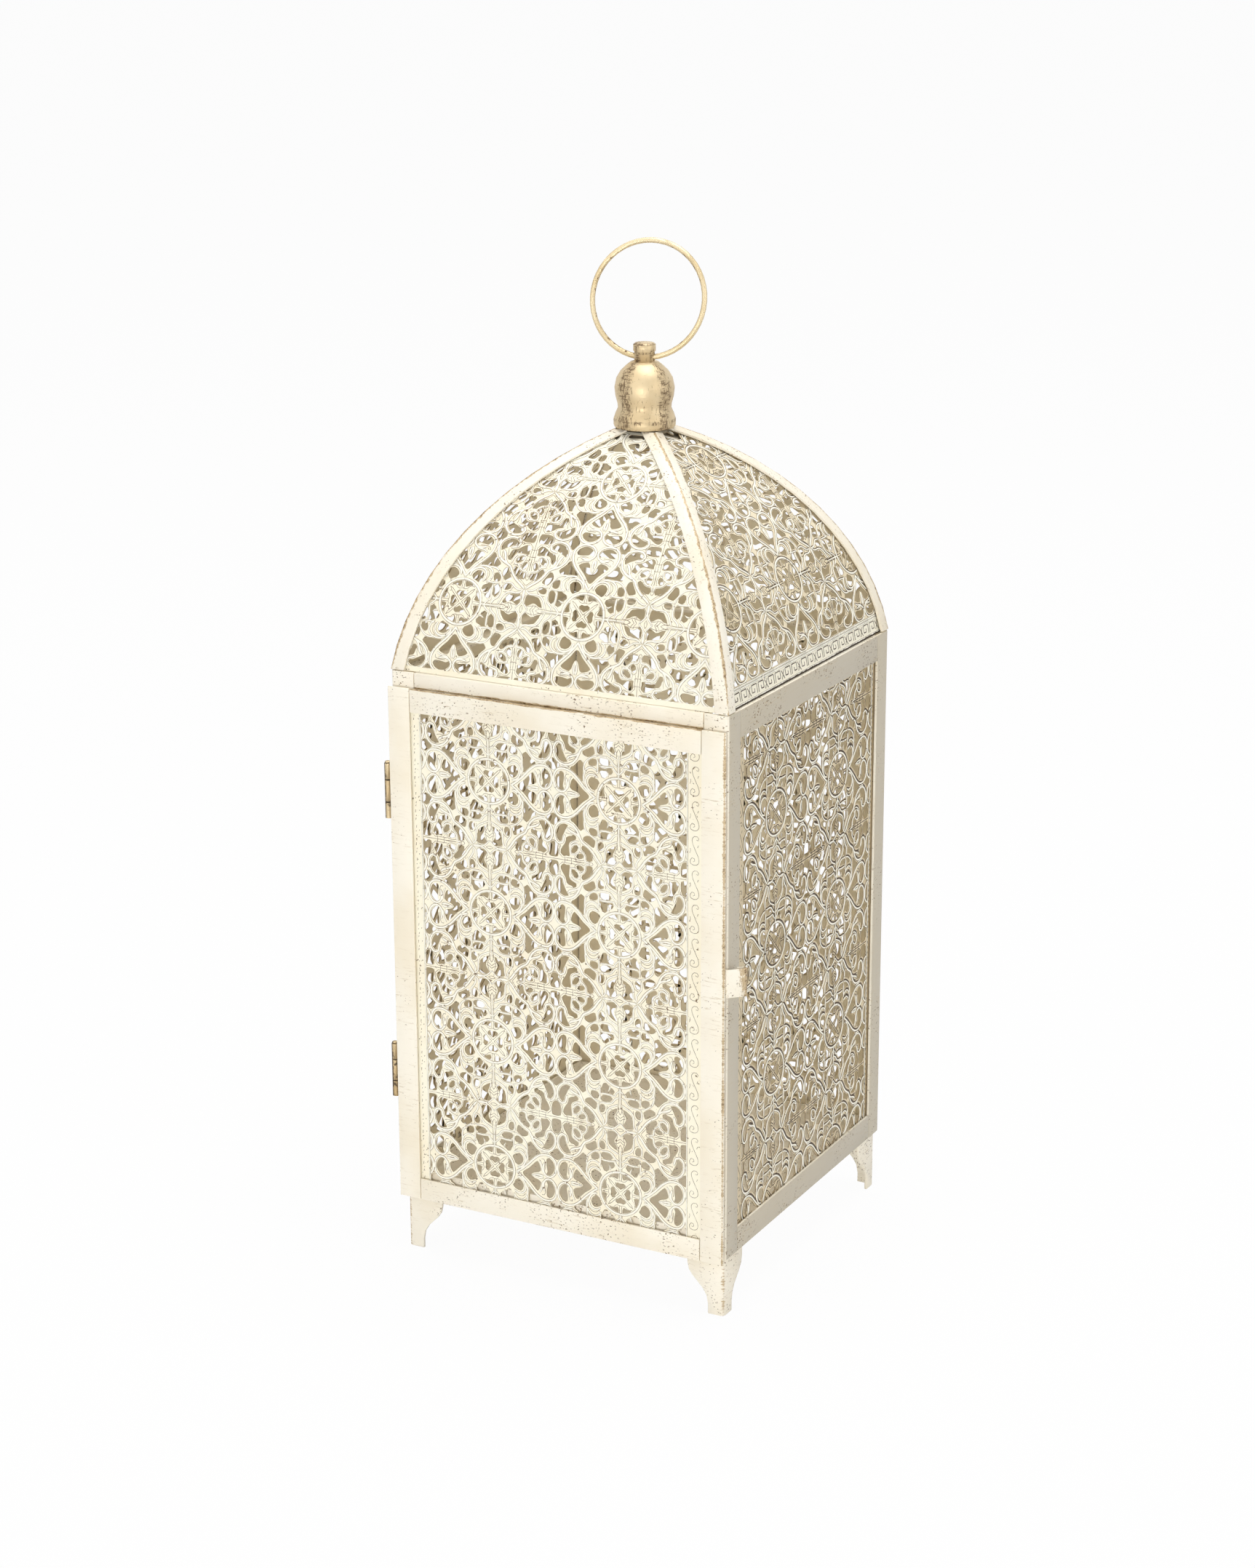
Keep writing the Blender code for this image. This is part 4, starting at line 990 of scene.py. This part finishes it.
# back is how far a sheet's back lies from the middle; each border has its middle, its top and its strip
doorSheet = {"back": 75.3, "blank": box2d(-70, 28.6, 69.8, 239.15), "window": box2d(-60.8, 31.4, 57.9, 236.6),
             "first": (-88.3, -9.8), "counts": (4, 6),
             "border": (61.0, 223.3, box2d(58.0, 28.9, 65.5, 238.8), borderMesh),
             "margin_border": (-61.3, 223.3, box2d(-64.9, 28.9, -60.9, 238.8), marginMesh)}
sheet, relief = scrollPair("front", doorSheet["blank"], doorSheet["window"], doorSheet["first"],
                           doorSheet["counts"])
addSheet("door_scroll", stand(sheet, doorSheet["back"]), "door", "door_panel")
addSheet("door_relief", stand(relief, doorSheet["back"]), "door")
for part in ("border", "margin_border"):
    addSheet("door_" + part, stand(borderRun("front", *doorSheet[part]), doorSheet["back"]), "door")

sideSheet = {"back": 72.4, "low": 26.8, "high": 248.5, "window": box2d(-57.7, 33.4, 61.9, 241.4),
             "first": (-86.8, 33.8), "counts": (4, 5),
             "border": (-60.8, 226.0, box2d(-65.5, 27.1, -57.9, 248.2), borderMesh),
             "edge_border": (62.6, 226.0, box2d(62.0, 27.1, 64.4, 248.2), edgeMesh)}
sideReach = {"right": 73.5, "rear": 72.1, "left": 73.5}
for side, reach in sideReach.items():
    turn = sides.index(side) * quarterTurn
    blank = box2d(-reach, sideSheet["low"], reach, sideSheet["high"])
    sheet, relief = scrollPair("side", blank, sideSheet["window"], sideSheet["first"], sideSheet["counts"])
    addSheet("side_scroll_" + side, stand(sheet, sideSheet["back"], turn), bodyName, "side_panel_" + side)
    addSheet("side_" + side + "_relief", stand(relief, sideSheet["back"], turn), bodyName)
    for part in ("border", "edge_border"):
        run = borderRun("side", *sideSheet[part])
        addSheet("side_" + side + "_" + part, stand(run, sideSheet["back"], turn), bodyName)

# the dome's arc: its middle as out and up, its radius at the ribs' faces and at a sheet's back
dome = {"centre": (-46.99, 231.86), "face": 122.08, "back": 120.98, "start": math.radians(8.595),
        "topHalf": 7.8, "low": 0.1, "inset": 0.3, "windowInset": 3.4, "windowTop": 1.5, "counts": (5, 4),
        "steps": 24}
# each sheet's medallion and the lower end of its window
domePlaces = {"front": ((7.0, 30.2), 2.2), **dict.fromkeys(sides[1:], ((3.6, 37.1), 8.4))}


def domeOutline(low, high, inset, steps=dome["steps"]):  # from one arc length above the eave to another
    right = []
    for i in range(steps + 1):
        along = low + (high - low) * i / steps
        angle = dome["start"] + along / dome["face"]
        right.append((dome["centre"][0] + dome["back"] * math.cos(angle) - inset, along))
    return right + [(-u, s) for u, s in reversed(right)]


def bendTree():
    tree, given = newTree("domeBend", {"Radius": "Float", "Face Radius": "Float", "Centre Out": "Float",
                                       "Centre Up": "Float", "Start": "Float", "Finish": "Material"})
    x, y, z = tree.split(tree.make("GeometryNodeInputPosition"))
    angle = y / given["Face Radius"] + given["Start"]
    reach = given["Radius"] + z
    out = given["Centre Out"] + reach * angle.cos()
    bent = tree.joined(x, 0 - out, given["Centre Up"] + reach * angle.sin())
    moved = tree.make("GeometryNodeSetPosition", None, {"Geometry": given["Geometry"], "Position": bent})
    return endTree(tree, moved, given["Finish"])


domeBend = bendTree()
domeTop = (math.acos((dome["topHalf"] - dome["centre"][0]) / dome["face"]) - dome["start"]) * dome["face"]


def bentRound(mesh, look, turn):
    mesh = grown(mesh, domeBend, {
        "Radius": (dome["back"] + scroll["behind"]) * mm, "Face Radius": dome["face"] * mm,
        "Centre Out": dome["centre"][0] * mm, "Centre Up": dome["centre"][1] * mm, "Start": dome["start"],
        "Finish": scrollLooks[look]})
    mesh.transform(Matrix.Rotation(turn, 4, "Z"))
    return mesh


blank = domeOutline(dome["low"], domeTop, dome["inset"])
for side, (medallion, low) in domePlaces.items():
    turn = sides.index(side) * quarterTurn
    first = (medallion[0] - 2 * scroll["up"], medallion[1] - scroll["across"])
    look = "front" if side == "front" else "dome"
    window = domeOutline(low, domeTop - dome["windowTop"], dome["windowInset"])
    sheet, relief = scrollPair(look, blank, window, first, dome["counts"], True)
    addSheet("dome_scroll_" + side, bentRound(sheet, look, turn), bodyName, "dome_panel_" + side)
    addSheet("dome_" + side + "_relief", bentRound(relief, look, turn), bodyName)
    if side != "front":
        strip = trimMesh(domeOutline(key["low"], key["high"], key["inset"], key["steps"]))
        keys = spreadOver(look, raised, strip, keyMesh, key["first"], (key["count"], 1),
                          (key["pitch"], key["pitch"]))
        addSheet("dome_" + side + "_border", bentRound(keys, look, turn), bodyName)


# floor, light and camera

studio = {"floorHalf": 60.0, "floorDepth": 0.005, "floor": (236, 236, 235), "ambient": 0.26,
          "whiteShare": 0.96, "rough": 0.9, "aim": (0, 0, 0.2)}
# watts, size in metres, place
softboxes = {"key": (12, 1.6, (-1.1, -2.2, 1.9)), "low": (34, 0.45, (0.55, -2.7, 0.1)),
             "overhead": (36, 1.6, (0.1, 0.2, 2.2)), "side": (12, 1.2, (2.6, -0.3, 0.8))}


def seenWhite(tree):  # 1 for the camera's own rays and for glossy ones
    seen = tree.make("ShaderNodeLightPath", output="Is Camera Ray")
    return seen.most(tree.make("ShaderNodeLightPath", output="Is Glossy Ray"))


def floorPaint():
    paint = Finish("paleFloor", Roughness=studio["rough"])
    paint.set("Base Color", linear(studio["floor"]))
    glow = paint.make("ShaderNodeEmission", None, {"Color": (1, 1, 1, 1), "Strength": 1.0})
    mixed = paint.make("ShaderNodeMixShader", None, {
        0: seenWhite(paint) * studio["whiteShare"], 1: Value(paint, paint.shader.outputs[0]), 2: glow})
    paint.feed(paint.nodeTree.nodes["Material Output"].inputs[0], mixed)
    return paint.material


floorReach = studio["floorHalf"] / mm
floorMesh = slabMesh(box2d(-floorReach, -floorReach, floorReach, floorReach), -studio["floorDepth"] / mm, 0)
floor = placed("studio_floor", floorMesh)
floorMesh.materials.append(floorPaint())

world = bpy.data.worlds.new("studio")
bpy.context.scene.world = world
world.use_nodes = True
sky = Tree(world.node_tree)
backdrop = world.node_tree.nodes["Background"].inputs
sky.feed(backdrop["Strength"], seenWhite(sky) * (1 - studio["ambient"]) + studio["ambient"])
sky.feed(backdrop["Color"], (1, 1, 1, 1))

for name, (power, size, place) in softboxes.items():
    light = bpy.data.lights.new(name, "AREA")
    light.energy = power
    light.size = size
    lamp = placed(name, light)
    lamp.location = place
    lamp.rotation_euler = (Vector(studio["aim"]) - lamp.location).to_track_quat("-Z", "Y").to_euler()

eye = {"place": (0.5972, -1.1359, 0.5838), "look": (-0.45, 0.8441, -0.2915), "up": (-0.1339, 0.259, 0.9566),
       "lens": 74.72, "sensor": 36.0}
ahead = Vector(eye["look"]).normalized()
right = ahead.cross(Vector(eye["up"])).normalized()
facing = Matrix((right, right.cross(ahead), -ahead)).transposed()
lens = bpy.data.cameras.new("photo_eye")
lens.sensor_fit = "VERTICAL"
lens.sensor_height = eye["sensor"]
lens.lens = eye["lens"]
camera = placed("photo_eye", lens)
camera.matrix_world = Matrix.Translation(eye["place"]) @ facing.to_4x4()
scene = bpy.context.scene
scene.camera = camera
scene.view_settings.view_transform = "Standard"
print("studio set")
